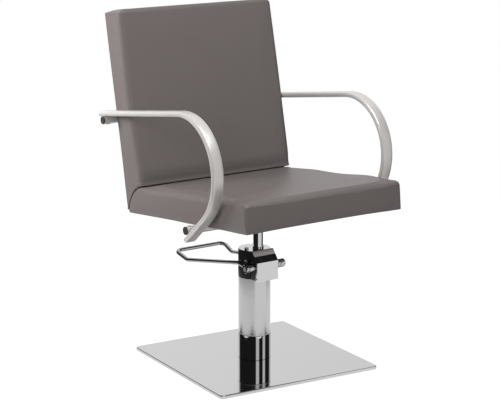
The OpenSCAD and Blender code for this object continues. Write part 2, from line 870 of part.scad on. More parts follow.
module seat_underside_cloth() {
    color(rubber) difference() {
        seat_frame() translate([0, (board_rear - board_front) / 2, 0])
            block(board_w, board_rear + board_front, cloth_t);
        seat_screw_shanks();
    }
}

// Cushions: rings of points round a side outline, at stations across the width

function arc_points(c, r, from, to, steps) =
    [for (k = [0 : steps]) c + r * [cos(from + (to - from) * k / steps), sin(from + (to - from) * k / steps)]];
function line_points(a, b, count) = [for (k = [1 : count]) a + k / (count + 1) * (b - a)];
function reversed(list) = [for (i = [len(list) - 1 : -1 : 0]) list[i]];
// Outward direction of a ring that runs clockwise
function outward(ring, i) = let (n = len(ring), d = ring[(i + 1) % n] - ring[(i + n - 1) % n])
    [-d[1], d[0]] / norm(d);
// Swell that is 1 over the middle and falls to 0 at both ends
function swell(u, power) = u < 0 || u > 1 ? 0 : 1 - pow(abs(2 * u - 1), power);
edge_turns = [10, 35, 60, 90];
station_shares = [-0.85, -0.6, -0.3, 0, 0.3, 0.6, 0.85];
// Stations across the width, as [x, how far the outline is drawn in there]
stations = concat(
    [for (a = edge_turns) [-seat_w / 2 + edge_r * (1 - cos(a)), edge_r * (1 - sin(a))]],
    [for (s = station_shares) [s * (seat_w / 2 - edge_r), 0]],
    [for (a = reversed(edge_turns)) [seat_w / 2 - edge_r * (1 - cos(a)), edge_r * (1 - sin(a))]]);
side_power = 12;

// Joins rings of points with a closed skin
module skin(rings) {
    n = len(rings[0]);
    last = len(rings) - 1;
    sides = [for (k = [0 : last - 1], i = [0 : n - 1]) each let (
        a = k * n + i, b = k * n + (i + 1) % n, c = a + n, d = b + n) [[a, b, c], [b, d, c]]];
    caps = [for (i = [0 : n / 2 - 2]) each let (
        a = i, b = i + 1, c = n - 2 - i, d = n - 1 - i, e = last * n)
        [[a, c, b], [a, d, c], [e + a, e + b, e + c], [e + a, e + c, e + d]]];
    polyhedron([for (ring = rings) each ring], concat(sides, caps));
}

seat_fillet = 6;
seat_crown_end = seat_rear - seat_rear_r - edge_r;
seat_front_bulge = 3;
seat_ring = concat(
    [[-seat_front, seat_t / 2]],
    arc_points([-seat_front + edge_r, seat_t - edge_r], edge_r, 180, 90, 3),
    line_points([-seat_front + edge_r, seat_t], [seat_rear - seat_rear_r, seat_t], 7),
    arc_points([seat_rear - seat_rear_r, seat_t - seat_rear_r], seat_rear_r, 90, 0, 7),
    reversed(concat(
        [[-seat_front, seat_t / 3]],
        arc_points([-seat_front + seat_fillet, seat_fillet], seat_fillet, 180, 270, 3),
        line_points([-seat_front + seat_fillet, 0], [seat_rear - seat_fillet, 0], 11),
        arc_points([seat_rear - seat_fillet, seat_fillet], seat_fillet, 270, 360, 3))));

// Moves a point of the seat's outline out to its crowned place at station x
function seat_point(x, in, i) = let (
    p = seat_ring[i] - in * (i < len(seat_ring) / 2 ? 1 : seat_fillet / edge_r) * outward(seat_ring, i),
    u = (p[0] + seat_front) / (seat_crown_end + seat_front),
    across = swell(x / seat_w + 1 / 2, 4),
    up = p[1] > seat_t / 2 ? seat_crown * swell(u, 4) * across : 0,
    forward = p[0] < edge_r - seat_front ? seat_front_bulge * across * swell(p[1] / seat_t, 2) : 0,
    side = pow(abs(2 * x / seat_w), side_power),
    inward = draw_in * side * swell(p[1] / seat_t, 2) * swell((p[0] + seat_front) / (seat_rear + seat_front), 8))
    [x - sign(x) * inward, p[0] - forward, p[1] + up];

module seat_cushion() {
    color(leather) difference() {
        seat_frame() skin([for (s = stations) [for (i = [0 : len(seat_ring) - 1]) seat_point(s[0], s[1], i)]]);
        seat_frame() translate([0, (board_rear - board_front) / 2, -over])
            block(board_w, board_rear + board_front, cloth_t + board_t + over);
    }
}

// Back

seat_arc_mid = on_seat(seat_rear - seat_rear_r, seat_t - seat_rear_r);
back_arc_r = seat_rear_r + soft_gap;
function along(p, d, from = [back_y, back_foot_z]) = (p - from) * d;
// Height on the back's rear face where its front meets the seat's rounded rear edge
back_meet_h = along(seat_arc_mid, back_up)
    + sqrt(pow(back_arc_r, 2) - pow(back_t + back_lumbar - along(seat_arc_mid, back_out), 2));
back_meet = on_back(back_meet_h, back_t + back_lumbar);
back_meet_angle = atan2(back_meet[1] - seat_arc_mid[1], back_meet[0] - seat_arc_mid[0]);
back_tip_drop = 9;
back_tip_w = 2;
back_thin_h = 38;
tip_edge_share = 0.08;
back_tip = on_seat(seat_rear + soft_gap, seat_t - seat_rear_r - back_tip_drop);
back_heel_h = 30;
back_front_steps = 10;
back_top_shares = [0.6, 0.4];
function mix(a, b, t) = a + t * (b - a);
function bezier(a, b, c, t) = mix(mix(a, b, t), mix(b, c, t), t);
back_ring = concat(
    [back_tip],
    arc_points(seat_arc_mid, back_arc_r, -seat_tilt, back_meet_angle, 6),
    [for (k = [1 : back_front_steps]) let (u = k / (back_front_steps + 1))
        on_back(mix(back_meet_h, back_l - edge_r, u), back_t + back_lumbar * pow(1 - u, 4))],
    [for (a = [0 : 30 : 90]) on_back(back_l - edge_r * (1 - sin(a)), back_t - edge_r * (1 - cos(a)))],
    [on_back(back_l, back_t * back_top_shares[0])],
    reversed(concat(
        [back_tip + [back_tip_w, 0]],
        [for (t = [1 : 7]) bezier(back_tip + [back_tip_w, 0], on_back(0, 0), on_back(back_heel_h, 0), t / 7)],
        line_points(on_back(back_heel_h, 0), on_back(back_l - edge_r, 0), back_front_steps),
        [for (a = [0 : 30 : 90]) on_back(back_l - edge_r * (1 - sin(a)), edge_r * (1 - cos(a)))],
        [on_back(back_l, back_t * back_top_shares[1])])));

// Moves a point of the back's outline out to its crowned place at station x
function back_point(x, in, i) = let (
    thin = min(1, tip_edge_share + along(back_ring[i] - back_tip, back_up, [0, 0]) / back_thin_h),
    p = back_ring[i] - in * thin * outward(back_ring, i),
    h = along(p, back_up),
    d = along(p, back_out),
    across = swell(x / seat_w + 1 / 2, 4),
    out = d > back_t / 2 ? back_crown * swell((h - back_meet_h) / (back_l - back_meet_h), 4) * across : 0,
    up = h > back_l - edge_r ? back_crown * across * swell(d / back_t, 2) : 0,
    side = pow(abs(2 * x / seat_w), side_power),
    inward = draw_in * side * swell(d / back_t, 2) * swell(h / back_l, 8),
    q = p + out * back_out + up * back_up)
    [x - sign(x) * inward, q[0], q[1]];

panel_l = back_l - panel_start - panel_top_margin;

// Pieces let into the back's rear face: how deep they start and how thick they are
module back_inlay(depth, t) {
    back_frame() translate([0, -depth - t / 2, panel_start]) block(board_w, t, panel_l);
}

module back_cushion() {
    color(leather) difference() {
        skin([for (s = stations) [for (i = [0 : len(back_ring) - 1]) back_point(s[0], s[1], i)]]);
        back_inlay(-over, panel_t + board_t + over);
    }
}

module back_board() {
    color(plywood) difference() {
        back_inlay(panel_t, board_t);
        back_screw_shanks();
    }
}

module back_panel() {
    color(leather) difference() {
        back_inlay(0, panel_t);
        back_screw_shanks();
    }
}

// Every screw that enters the back board from behind
module back_screw_shanks() {
    rear_saddle_screw_places() cylinder(d = saddle_screw_d, h = saddle_t + panel_t + screw_bite);
    strap_back_screw_places() cylinder(d = strap_screw_d, h = strap_t + panel_t + screw_bite);
}

// Bent flat bars under the seat and up the back's rear face

seat_heading = [cos(seat_tilt), -sin(seat_tilt)];
seat_up = [sin(seat_tilt), cos(seat_tilt)];
// Height on the back's rear face where the seat's underside, carried on, meets it
strap_corner_h = -([back_y, back_foot_z - seat_z] * seat_up) / (back_up * seat_up);
strap_low = on_seat(board_rear - strap_seat_l, 0);
strap_seat_bend = on_back(strap_corner_h, 0) - strap_bend * seat_heading;
strap_back_bend = on_back(strap_corner_h + strap_bend, 0);
strap_high = on_back(strap_back_top, 0);
// Corner of a bar of thickness strap_t below a bend between two headings
function strap_corner(at, from, to) = let (
    a = unit(at - from), b = unit(to - at), half = acos(a * b) / 2, n = unit(a - b))
    at + strap_t / cos(half) * n;

module back_straps() {
    path = [strap_low, strap_seat_bend, strap_back_bend, strap_high];
    color(black_cast) difference() {
        for (side = [-1, 1]) translate([side * strap_apart, 0, 0]) side_extrude(strap_w) polygon(concat(path,
            [strap_high - strap_t * back_out, strap_corner(path[2], path[1], path[3]),
            strap_corner(path[1], path[0], path[2]), strap_low - strap_t * seat_up]));
        strap_seat_screw_places() cylinder(d = strap_screw_d, h = 2 * strap_t, center = true);
        strap_back_screw_places() cylinder(d = strap_screw_d, h = 2 * strap_t, center = true);
    }
}

module strap_seat_screw_places() {
    for (side = [-1, 1], s = strap_screw_shares) seat_frame()
        translate([side * strap_apart, board_rear - strap_seat_l + s * strap_seat_l, -strap_t]) children();
}

module strap_back_screw_places() {
    for (side = [-1, 1], s = strap_screw_shares) back_frame()
        translate([side * strap_apart, strap_t, strap_back_top - s * strap_back_l])
            rotate([90, 0, 0]) children();
}

module strap_screws() {
    color(steel) {
        strap_seat_screw_places() screw(strap_screw_d, strap_t + cloth_t + screw_bite, strap_screw_head_d,
            strap_screw_head_h);
        strap_back_screw_places() screw(strap_screw_d, strap_t + panel_t + screw_bite, strap_screw_head_d,
            strap_screw_head_h);
    }
}

// Cross tubes, saddles and arms

module at_front_tube() {
    translate([0, front_tube[0], front_tube[1]]) children();
}

module at_rear_tube() {
    translate([0, rear_tube[0], rear_tube[1]]) children();
}

module cross_tube() {
    difference() {
        rod_x(cross_d, cross_l);
        rod_x(cross_d - 2 * cross_wall, cross_l + 2 * over);
    }
}

module front_cross_tube() {
    color(arm_paint) difference() {
        at_front_tube() cross_tube();
        front_arm_bolt_places() cylinder(d = arm_bolt_d, h = arm_bolt_l);
    }
}

module rear_cross_tube() {
    color(arm_paint) difference() {
        at_rear_tube() cross_tube();
        rear_arm_bolt_places() cylinder(d = arm_bolt_d, h = arm_bolt_l);
    }
}

// Dark caps pressed into the ends of both tubes
module tube_plugs() {
    color(rubber) for (side = [-1, 1]) {
        at_front_tube() tube_plug(side);
        at_rear_tube() tube_plug(side);
    }
}

module tube_plug(side) {
    translate([side * (cross_l / 2 - plug_depth / 2 + plug_head_t / 4), 0, 0])
        rod_x(cross_d - 2 * cross_wall, plug_depth + plug_head_t / 2);
    translate([side * (cross_l + plug_head_t) / 2, 0, 0]) rod_x(cross_d, plug_head_t);
}

// Strap over a tube that lies against a flat face at z = cross_d / 2
module saddle() {
    inner = cross_d / 2;
    outer = inner + saddle_t;
    side_extrude(saddle_w) difference() {
        union() {
            circle(r = outer);
            translate([-outer, 0]) square([2 * outer, inner]);
            translate([-outer - saddle_foot, inner - saddle_t]) square([2 * (outer + saddle_foot), saddle_t]);
        }
        circle(r = inner);
        translate([-inner, 0]) square([2 * inner, inner + over]);
        translate([-outer - saddle_foot - over, inner]) square([2 * (outer + saddle_foot + over), outer]);
    }
}

module saddle_feet() {
    for (end = [-1, 1])
        translate([0, end * (cross_d / 2 + saddle_t + saddle_foot / 2), cross_d / 2 - saddle_t]) children();
}

module front_saddle_frames() {
    for (side = [-1, 1]) at_front_tube() translate([side * saddle_apart, 0, 0]) rotate([-seat_tilt, 0, 0]) children();
}

module rear_saddle_frames() {
    for (side = [-1, 1]) at_rear_tube() translate([side * saddle_apart, 0, 0])
        rotate([90 - back_lean, 0, 0]) children();
}

module front_saddle_screw_places() {
    front_saddle_frames() saddle_feet() children();
}

module rear_saddle_screw_places() {
    rear_saddle_frames() saddle_feet() children();
}

module front_saddles() {
    color(steel) difference() {
        front_saddle_frames() saddle();
        front_saddle_screw_places() cylinder(d = saddle_screw_d, h = 2 * saddle_t, center = true);
    }
}

module rear_saddles() {
    color(steel) difference() {
        rear_saddle_frames() saddle();
        rear_saddle_screw_places() cylinder(d = saddle_screw_d, h = 2 * saddle_t, center = true);
    }
}

module saddle_screws() {
    color(steel) {
        front_saddle_screw_places() screw(saddle_screw_d, saddle_t + cloth_t + screw_bite, saddle_screw_head_d,
            saddle_screw_head_h);
        rear_saddle_screw_places() screw(saddle_screw_d, saddle_t + panel_t + screw_bite, saddle_screw_head_d,
            saddle_screw_head_h);
    }
}

// Ring of the flat-oval arm at a point of the side plane, square to a heading and drawn in by a distance
function arm_ring(p, heading, in) = [for (end = [1, -1], k = [0 : arm_round_steps]) let (
    a = 180 * k / arm_round_steps - 90 * end,
    r = arm_t / 2 - in,
    q = p + r * sin(a) * left_of(heading))
    [end * (arm_w - arm_t) / 2 + r * cos(a), q[0], q[1]]];
// Rings of a rounded end, from its tip to the straight run
function arm_tip(p, heading, way, turns) = [for (a = turns)
    arm_ring(p + way * arm_t / 2 * sin(a) * heading, heading, arm_t / 2 * (1 - cos(a)))];
function turned(d, a) = [d[0] * cos(a) - d[1] * sin(a), d[0] * sin(a) + d[1] * cos(a)];
arm_round_steps = 8;
arm_bend_steps = 24;
arm_tip_turns = [80, 55, 30, 0];

module arm() {
    skin(concat(arm_tip(arm_rear_end, upper_heading, -1, arm_tip_turns),
        [for (k = [0 : arm_bend_steps]) let (h = turned(upper_heading, bend_angle * k / arm_bend_steps))
            arm_ring(bend_mid - arm_bend_r * left_of(h), h, 0)],
        arm_tip(arm_tail_end, tail_heading, 1, reversed(arm_tip_turns))));
}

arm_bolt_l = cross_d + arm_bolt_bite;

// Bolt heads on the side of each tube away from the arm
module arm_bolt_place(tube_mid, heading) {
    n = left_of(heading);
    for (side = [-1, 1]) translate([side * arm_x, tube_mid[0], tube_mid[1]])
        rotate([atan2(-n[1], -n[0]) - 90, 0, 0]) translate([0, 0, -cross_d / 2]) children();
}

module front_arm_bolt_places() {
    arm_bolt_place(front_tube, tail_heading) children();
}

module rear_arm_bolt_places() {
    arm_bolt_place(rear_tube, upper_heading) children();
}

module arm_bolts() {
    color(arm_paint) {
        front_arm_bolt_places() screw(arm_bolt_d, arm_bolt_l, arm_bolt_head_d, arm_bolt_head_h);
        rear_arm_bolt_places() screw(arm_bolt_d, arm_bolt_l, arm_bolt_head_d, arm_bolt_head_h);
    }
}

module armrest(side) {
    color(arm_paint) difference() {
        translate([side * arm_x, 0, 0]) arm();
        front_arm_bolt_places() cylinder(d = arm_bolt_d, h = arm_bolt_l);
        rear_arm_bolt_places() cylinder(d = arm_bolt_d, h = arm_bolt_l);
    }
}

module armrest_left() {
    armrest(-1);
}

module armrest_right() {
    armrest(1);
}

base_plate();
floor_pad();
base_bolts();
column_foot();
base_collar();
column_sleeve();
pump_cylinder();
pump_head();
head_cap();
rod_gland();
wiper_seal();
rod_bush();
head_cover();
cover_screws();
filler_plug();
side_plug();
shaft_bushes();
pedal_shaft();
pedal_cam();
pedal_hub_left();
pedal_hub_right();
hub_screws();
pedal_loop();
pump_plunger();
plunger_spring();
lift_rod();
piston();
piston_seal();
swivel_washer();
seat_mount();
mount_screws();
seat_board();
seat_underside_cloth();
seat_cushion();
back_board();
back_panel();
back_cushion();
back_straps();
strap_screws();
front_cross_tube();
rear_cross_tube();
tube_plugs();
front_saddles();
rear_saddles();
saddle_screws();
armrest_left();
armrest_right();
arm_bolts();
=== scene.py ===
"""Looks of a hairdressing chair: leather seat and back, pale metal arms, chromed column and plate.

Lengths are in metres in the model's frame: +Z up, the sitter faces -Y, +X to the sitter's left."""

import math

import bmesh
import bpy
import numpy as np
from mathutils import Matrix, Vector


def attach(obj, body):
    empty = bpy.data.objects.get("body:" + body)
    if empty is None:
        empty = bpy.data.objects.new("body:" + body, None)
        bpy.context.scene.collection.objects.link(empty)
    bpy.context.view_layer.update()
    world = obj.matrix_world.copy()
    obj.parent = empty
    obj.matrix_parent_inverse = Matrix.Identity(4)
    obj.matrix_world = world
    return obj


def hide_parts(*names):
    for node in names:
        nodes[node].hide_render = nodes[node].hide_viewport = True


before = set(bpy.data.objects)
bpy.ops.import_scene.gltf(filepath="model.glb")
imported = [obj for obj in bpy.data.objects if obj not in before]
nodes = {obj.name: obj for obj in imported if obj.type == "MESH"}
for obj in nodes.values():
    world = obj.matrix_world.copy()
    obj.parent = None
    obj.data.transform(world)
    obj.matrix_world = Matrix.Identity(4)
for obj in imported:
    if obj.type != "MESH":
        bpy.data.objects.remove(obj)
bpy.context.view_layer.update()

# Camera, at the photograph's viewing angle

EYE = Vector((-2.6166, -3.6680, 1.4786))
FORWARD = Vector((0.56427, 0.79566, -0.22031)).normalized()
RIGHT = Vector((0.81570, -0.57848, 0.0)).normalized()
SENSOR_W = 36.0
LENS = 120.53
CLIP_END = 100.0


def make_camera():
    data = bpy.data.cameras.new("camera")
    data.sensor_fit = "HORIZONTAL"
    data.sensor_width = SENSOR_W
    data.lens = LENS
    data.clip_end = CLIP_END
    camera = bpy.data.objects.new("camera", data)
    turn = Matrix((RIGHT, RIGHT.cross(FORWARD), -FORWARD)).transposed().to_4x4()
    camera.matrix_world = Matrix.Translation(EYE) @ turn
    bpy.context.scene.collection.objects.link(camera)
    bpy.context.scene.camera = camera


# Shader maths

class Value:
    """A socket of a node tree, so that shader maths is written as expressions."""

    def __init__(self, tree, socket):
        self.tree = tree
        self.socket = socket

    def out(self, name):
        """Another output of the same node."""
        return Value(self.tree, self.socket.node.outputs[name])

    def maths(self, operation, *others):
        return self.tree.node("Math", {"operation": operation}, [self, *others])

    def __add__(self, other):
        return self.maths("ADD", other)

    def __rsub__(self, other):
        return self.tree.node("Math", {"operation": "SUBTRACT"}, [other, self])

    def __mul__(self, other):
        return self.maths("MULTIPLY", other)

    __radd__ = __add__

    def rise(self, low, high):
        """0 below low and 1 above high, smooth between; with low above high it falls."""
        return self.tree.node("MapRange", {"interpolation_type": "SMOOTHSTEP"},
                              {"Value": self, "From Min": low, "From Max": high})

    def band(self, low, high, soft):
        """1 between low and high, with soft edges."""
        return self.rise(low - soft, low + soft) * self.rise(high + soft, high - soft)


# The Mix node's sockets for colours: its share, A and B, and its result
MIX_IN = (0, 6, 7)
MIX_OUT = 2


class Tree:
    """A node tree that makes its nodes through one method."""

    def __init__(self, owner):
        owner.use_nodes = True
        self.nodes = owner.node_tree.nodes
        self.links = owner.node_tree.links

    def node(self, kind, settings=None, inputs=None):
        """Makes a node, sets its settings, then feeds its sockets, and gives its first output."""
        node = self.nodes.new("ShaderNode" + kind)
        for name, value in (settings or {}).items():
            setattr(node, name, value)
        pairs = inputs.items() if isinstance(inputs, dict) else enumerate(inputs or [])
        for socket, value in pairs:
            self.feed(node.inputs[socket], value)
        return Value(self, node.outputs[0]) if node.outputs else None

    def feed(self, socket, value):
        """Links a Value to a socket, or sets a constant on it."""
        if isinstance(value, Value):
            self.links.new(value.socket, socket)
        elif isinstance(value, tuple) and socket.type == "RGBA":
            socket.default_value = (*value, 1.0)
        else:
            socket.default_value = value

    def mix(self, share, a, b):
        """Colour between a and b."""
        node = self.nodes.new("ShaderNodeMix")
        node.data_type = "RGBA"
        for index, value in zip(MIX_IN, (share, a, b)):
            self.feed(node.inputs[index], value)
        return Value(self, node.outputs[MIX_OUT])

    def place(self):
        """Object coordinates."""
        return self.node("TexCoord").out("Object")

    def stretched(self, scale):
        """Object coordinates, stretched."""
        return self.node("VectorMath", {"operation": "MULTIPLY"}, [self.place(), scale])

    def noise(self, scale, detail, roughness=0.5, at=None):
        return self.node("TexNoise", None, {"Vector": at or self.place(), "Scale": scale,
                                            "Detail": detail, "Roughness": roughness})


class Finish(Tree):
    """A material with one Principled shader. Constants are set on the shader's own sockets."""

    def __init__(self, name, **constants):
        self.material = bpy.data.materials.new(name)
        super().__init__(self.material)
        self.shader = self.nodes["Principled BSDF"]
        for socket, value in constants.items():
            self.set(socket.replace("_", " "), value)

    def set(self, socket, value):
        self.feed(self.shader.inputs[socket], value)

    def colour(self, share, a, b):
        self.set("Base Color", self.mix(share, a, b))

    def roughen(self, pattern, least, spread):
        """Roughness of least where the pattern is 0, and more by spread where it is 1."""
        self.set("Roughness", pattern * spread + least)

    def bump(self, height, depth, strength):
        """Bends the normal by a height, whose depth is in metres."""
        inputs = {"Height": height, "Distance": depth, "Strength": strength}
        self.set("Normal", self.node("Bump", None, inputs))

    def wear(self, *pieces):
        """Puts the material on CAD nodes or pieces."""
        for piece in pieces:
            data = nodes[piece].data if isinstance(piece, str) else piece.data
            data.materials.clear()
            data.materials.append(self.material)


# Surroundings: a white room that the eye sees, with dark screens that only gloss shows

WHITE = (1.0, 1.0, 1.0)
BLACK = (0.0, 0.0, 0.0)
FLOOR_SIZE = 60.0
# The floor to light that bounces off it, and to the eye, which also sees it glow
FLOOR_TONE = (0.52, 0.52, 0.52)
FLOOR_SEEN = (0.15, 0.15, 0.15)
FLOOR_GLOW = (0.96, 0.96, 0.96)
# Light that reaches the chair from the horizon and from straight above
ROOM_LEVEL = 0.24
ROOM_TOP = 0.25
# The white part of the floor round the chair, as metal shows it, and half its soft edge
WHITE_FLOOR_R = 0.95
WHITE_FLOOR_SOFT = 0.06
DARK = 0.02
# White cards among the dark screens, in degrees to the right of the way to the camera
CARDS = ((11.0, 33.0), (61.0, 81.0))
FLOOR_CARD = (2.0, 89.0)
CARD_SOFT = 2.0
# How high the cards reach, in degrees, and half their soft upper edge
CARD_TOP = 32.0
CARD_TOP_SOFT = 6.0
# Half the white backdrop beyond the chair, and half its soft edge, in degrees
BACKDROP_HALF = 48.0
BACKDROP_SOFT = 10.0
# How much dimmer the backdrop's right half is, and the sines of the heading between
BACKDROP_DIM = 0.1
DIM_ACROSS = (-0.15, 0.2)
# How bright the ceiling is to gloss, and the sines of the elevation it starts between
CEILING = 0.42
CEILING_UP = (0.5, 0.85)


def heading(tree, place):
    """Angle to the right of the way from the chair to the camera, and the place's own z."""
    def along(way):
        return tree.node("VectorMath", {"operation": "DOT_PRODUCT"}, [place, way]).out("Value")
    across = along((RIGHT.x, RIGHT.y, 0.0))
    toward = along((RIGHT.y, -RIGHT.x, 0.0))
    return across.maths("ARCTAN2", toward), tree.node("SeparateXYZ", None, [place]).out("Z")


def card(angle, low, high):
    return angle.band(math.radians(low), math.radians(high), math.radians(CARD_SOFT))


def make_world():
    world = bpy.data.worlds.new("room")
    bpy.context.scene.world = world
    tree = Tree(world)
    tree.nodes.clear()
    angle, up = heading(tree, tree.node("TexCoord").out("Generated"))
    cards = card(angle, *CARDS[0]) + card(angle, *CARDS[1])
    low = up.rise(*(math.sin(math.radians(CARD_TOP + s * CARD_TOP_SOFT)) for s in (1, -1)))
    backdrop = angle.maths("ABSOLUTE").rise(
        *(math.radians(180 - BACKDROP_HALF + s * BACKDROP_SOFT) for s in (-1, 1)))
    backdrop = backdrop * (1.0 - angle.maths("SINE").rise(*DIM_ACROSS) * BACKDROP_DIM)
    ceiling = up.rise(*CEILING_UP) * CEILING
    shown = (DARK + cards * low).maths("MAXIMUM", backdrop).maths("MAXIMUM", ceiling)
    path = tree.node("LightPath")
    seen = path.out("Is Camera Ray").maths("MAXIMUM", path.out("Is Transmission Ray"))
    level = up.rise(0.0, 1.0) * (ROOM_TOP - ROOM_LEVEL) + ROOM_LEVEL
    lit = tree.mix(path.out("Is Glossy Ray"), level, shown)
    colour = tree.mix(seen, lit, WHITE)
    background = tree.node("Background", None, {"Color": colour})
    tree.node("OutputWorld", None, {"Surface": background})


def make_floor():
    """A pale plane that the eye sees white, with the chair's shadow on it."""
    corners = FLOOR_SIZE / 2 * np.array([(-1, -1, 0), (1, -1, 0), (1, 1, 0), (-1, 1, 0)])
    floor = make_piece("floor", corners, np.array([(0, 1, 2, 3)]), smooth=False)
    material = bpy.data.materials.new("floor")
    floor.data.materials.append(material)
    tree = Tree(material)
    tree.nodes.clear()
    place = tree.place()
    angle, _ = heading(tree, place)
    r = tree.node("VectorMath", {"operation": "LENGTH"}, [place]).out("Value")
    near = r.rise(WHITE_FLOOR_R + WHITE_FLOOR_SOFT, WHITE_FLOOR_R - WHITE_FLOOR_SOFT)
    shown = (DARK + card(angle, *FLOOR_CARD)).maths("MAXIMUM", near)
    path = tree.node("LightPath")
    eye, gloss = path.out("Is Camera Ray"), path.out("Is Glossy Ray")
    emitted = tree.mix(eye, tree.mix(gloss, BLACK, shown), FLOOR_GLOW)
    glow = tree.node("Emission", None, {"Color": emitted})
    tone = tree.mix(eye, tree.mix(gloss, FLOOR_TONE, BLACK), FLOOR_SEEN)
    matt = tree.node("BsdfDiffuse", None, {"Color": tone})
    both = tree.node("AddShader", None, [glow, matt])
    tree.node("OutputMaterial", None, {"Surface": both})


# Soft lamps: where each stands, what it looks at, its size and its power. Gloss shows the last
LAMPS = {
    "key": ((-3.2, -0.6, 2.0), (0.0, 0.0, 0.6), 1.6, 55.0),
    "side": ((-1.2, 1.0, 1.0), (-0.25, 0.33, 0.85), 0.8, 20.0),
    "fill": ((0.6, -3.4, 3.2), (0.0, 0.0, 0.5), 2.0, 6.0),
    "top": ((0.1, -0.9, 2.5), (0.0, 0.1, 0.6), 1.4, 26.0),
}


def make_lamps():
    for name, (at, target, size, power) in LAMPS.items():
        data = bpy.data.lights.new(name, "AREA")
        data.shape = "DISK"
        data.size = size
        data.energy = power
        lamp = bpy.data.objects.new(name, data)
        lamp.location = at
        way = Vector(target) - Vector(at)
        lamp.rotation_euler = way.to_track_quat("-Z", "Y").to_euler()
        lamp.visible_glossy = name == "top"
        bpy.context.scene.collection.objects.link(lamp)


# Meshes

# Points nearer than this are one
SAME_PLACE = 1e-6


def make_piece(name, points, faces, smooth=True):
    data = bpy.data.meshes.new(name)
    data.from_pydata(points.tolist(), [], faces.tolist())
    if smooth:
        data.shade_smooth()
    piece = bpy.data.objects.new(name, data)
    bpy.context.scene.collection.objects.link(piece)
    return piece


def grid_faces(rows, columns, close_rows=False, close_columns=False):
    """Quads of a grid of points, closed round either way if asked."""
    i = np.arange(rows if close_rows else rows - 1)
    j = np.arange(columns if close_columns else columns - 1)
    i, j = np.meshgrid(i, j, indexing="ij")
    i, j = i.ravel(), j.ravel()
    k, l = (i + 1) % rows, (j + 1) % columns
    return np.stack([i * columns + j, i * columns + l, k * columns + l, k * columns + j], 1)


def signed_volume(points, faces):
    """Sum over each quad abcd of (a . (b x c) + a . (c x d)) / 6: the volume inside the quads,
    below 0 if they face inwards."""
    a, b, c, d = (points[faces[:, n]] for n in range(4))
    return sum(np.einsum("ij,ij->i", a, np.cross(*pair)) for pair in ((b, c), (c, d))).sum() / 6


def outwards(points, faces):
    return faces if signed_volume(points, faces) > 0 else faces[:, ::-1]


def unit(v):
    return v / np.linalg.norm(v, axis=-1, keepdims=True)


def swept(path, sideways, profile, closed=False):
    """A profile carried along a path: point = path + profile x * sideways + profile y * upward,
    where upward = heading x sideways. An open path's ends are closed by rings shrunk to a point."""
    if closed:
        heading = unit(np.roll(path, -1, 0) - np.roll(path, 1, 0))
    else:
        heading = unit(np.gradient(path, axis=0))
    sideways = unit(sideways - np.sum(sideways * heading, 1, keepdims=True) * heading)
    upward = np.cross(heading, sideways)
    rings = (path[:, None] + profile[..., 0, None] * sideways[:, None]
             + profile[..., 1, None] * upward[:, None])
    if not closed:
        first, last = (np.broadcast_to(path[n], rings[:1].shape) for n in (0, -1))
        rings = np.concatenate([first, rings, last])
    rows, columns = rings.shape[:2]
    points = rings.reshape(-1, 3)
    faces = grid_faces(rows, columns, close_rows=closed, close_columns=True)
    return points, outwards(points, faces)


def weld(piece):
    """Merges points that lie on each other."""
    mesh = bmesh.new()
    mesh.from_mesh(piece.data)
    bmesh.ops.remove_doubles(mesh, verts=mesh.verts, dist=SAME_PLACE)
    bmesh.ops.recalc_face_normals(mesh, faces=mesh.faces)
    mesh.to_mesh(piece.data)
    mesh.free()


# Seat and back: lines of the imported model, as (y, z) in the side plane

def turned(degrees):
    return np.array([math.cos(math.radians(degrees)), math.sin(math.radians(degrees))])


SEAT_TILT = 5.3
SEAT_Z = 0.437
SEAT_W = 0.509
SEAT_FRONT = 0.325
SEAT_REAR = 0.235
SEAT_T = 0.074
REAR_R = 0.064
BACK_Y = 0.2568
BACK_FOOT_Z = 0.41689
BACK_L = 0.552
BACK_T = 0.078
BACK_LEAN = 10.4
BACK_LUMBAR = 0.012
SOFT_GAP = 0.0005
SEAT_ALONG = turned(-SEAT_TILT)
SEAT_UP = turned(90 - SEAT_TILT)
BACK_UP = turned(90 - BACK_LEAN)
BACK_OUT = turned(180 - BACK_LEAN)
FOOT = np.array([BACK_Y, BACK_FOOT_Z])


def side_plane(origin, first, second):
    """Gives the function that places points, as origin + a * first + b * second."""
    def placed(points):
        points = np.asarray(points, float)
        return origin + points[..., :1] * first + points[..., 1:] * second
    return placed


# (distance behind the column, height over the seat's underside), (height up the rear face, out)
on_seat = side_plane(np.array([0, SEAT_Z]), SEAT_ALONG, SEAT_UP)
on_back = side_plane(FOOT, BACK_UP, BACK_OUT)


def arc(centre, r, start, end, count):
    """centre + r (cos a, sin a), for a from start to end degrees."""
    a = np.radians(np.linspace(start, end, count))
    return np.asarray(centre) + r * np.stack([np.cos(a), np.sin(a)], 1)


def line(a, b, count):
    """Points strictly between a and b."""
    t = np.linspace(0, 1, count + 2)[1:-1, None]
    return np.asarray(a) + t * (np.asarray(b) - np.asarray(a))


def swell(u, power):
    """1 - |2 u - 1| ** power: 1 over the middle of 0 to 1, falling to 0 at both ends and beyond."""
    return 1 - np.clip(np.abs(2 * u - 1), 0, 1) ** power


def fade(v, low, high):
    """t * t * (3 - 2 * t) for t from 0 at low to 1 at high; with low above high it falls."""
    t = np.clip((v - low) / (high - low), 0, 1)
    return t * t * (3 - 2 * t)


# Points of a cushion's grid: round its edges, across it, and up its sides
ROUND_STEPS = 5
ACROSS = 76
UP_SIDE = 13
# Share of a quarter wave that spaces the grid across: more crowds its lines towards the sides
CROWD = 0.8
# How far the outline shrinks at a side, as a share of the edge's radius
RING_SHRINK = 0.9


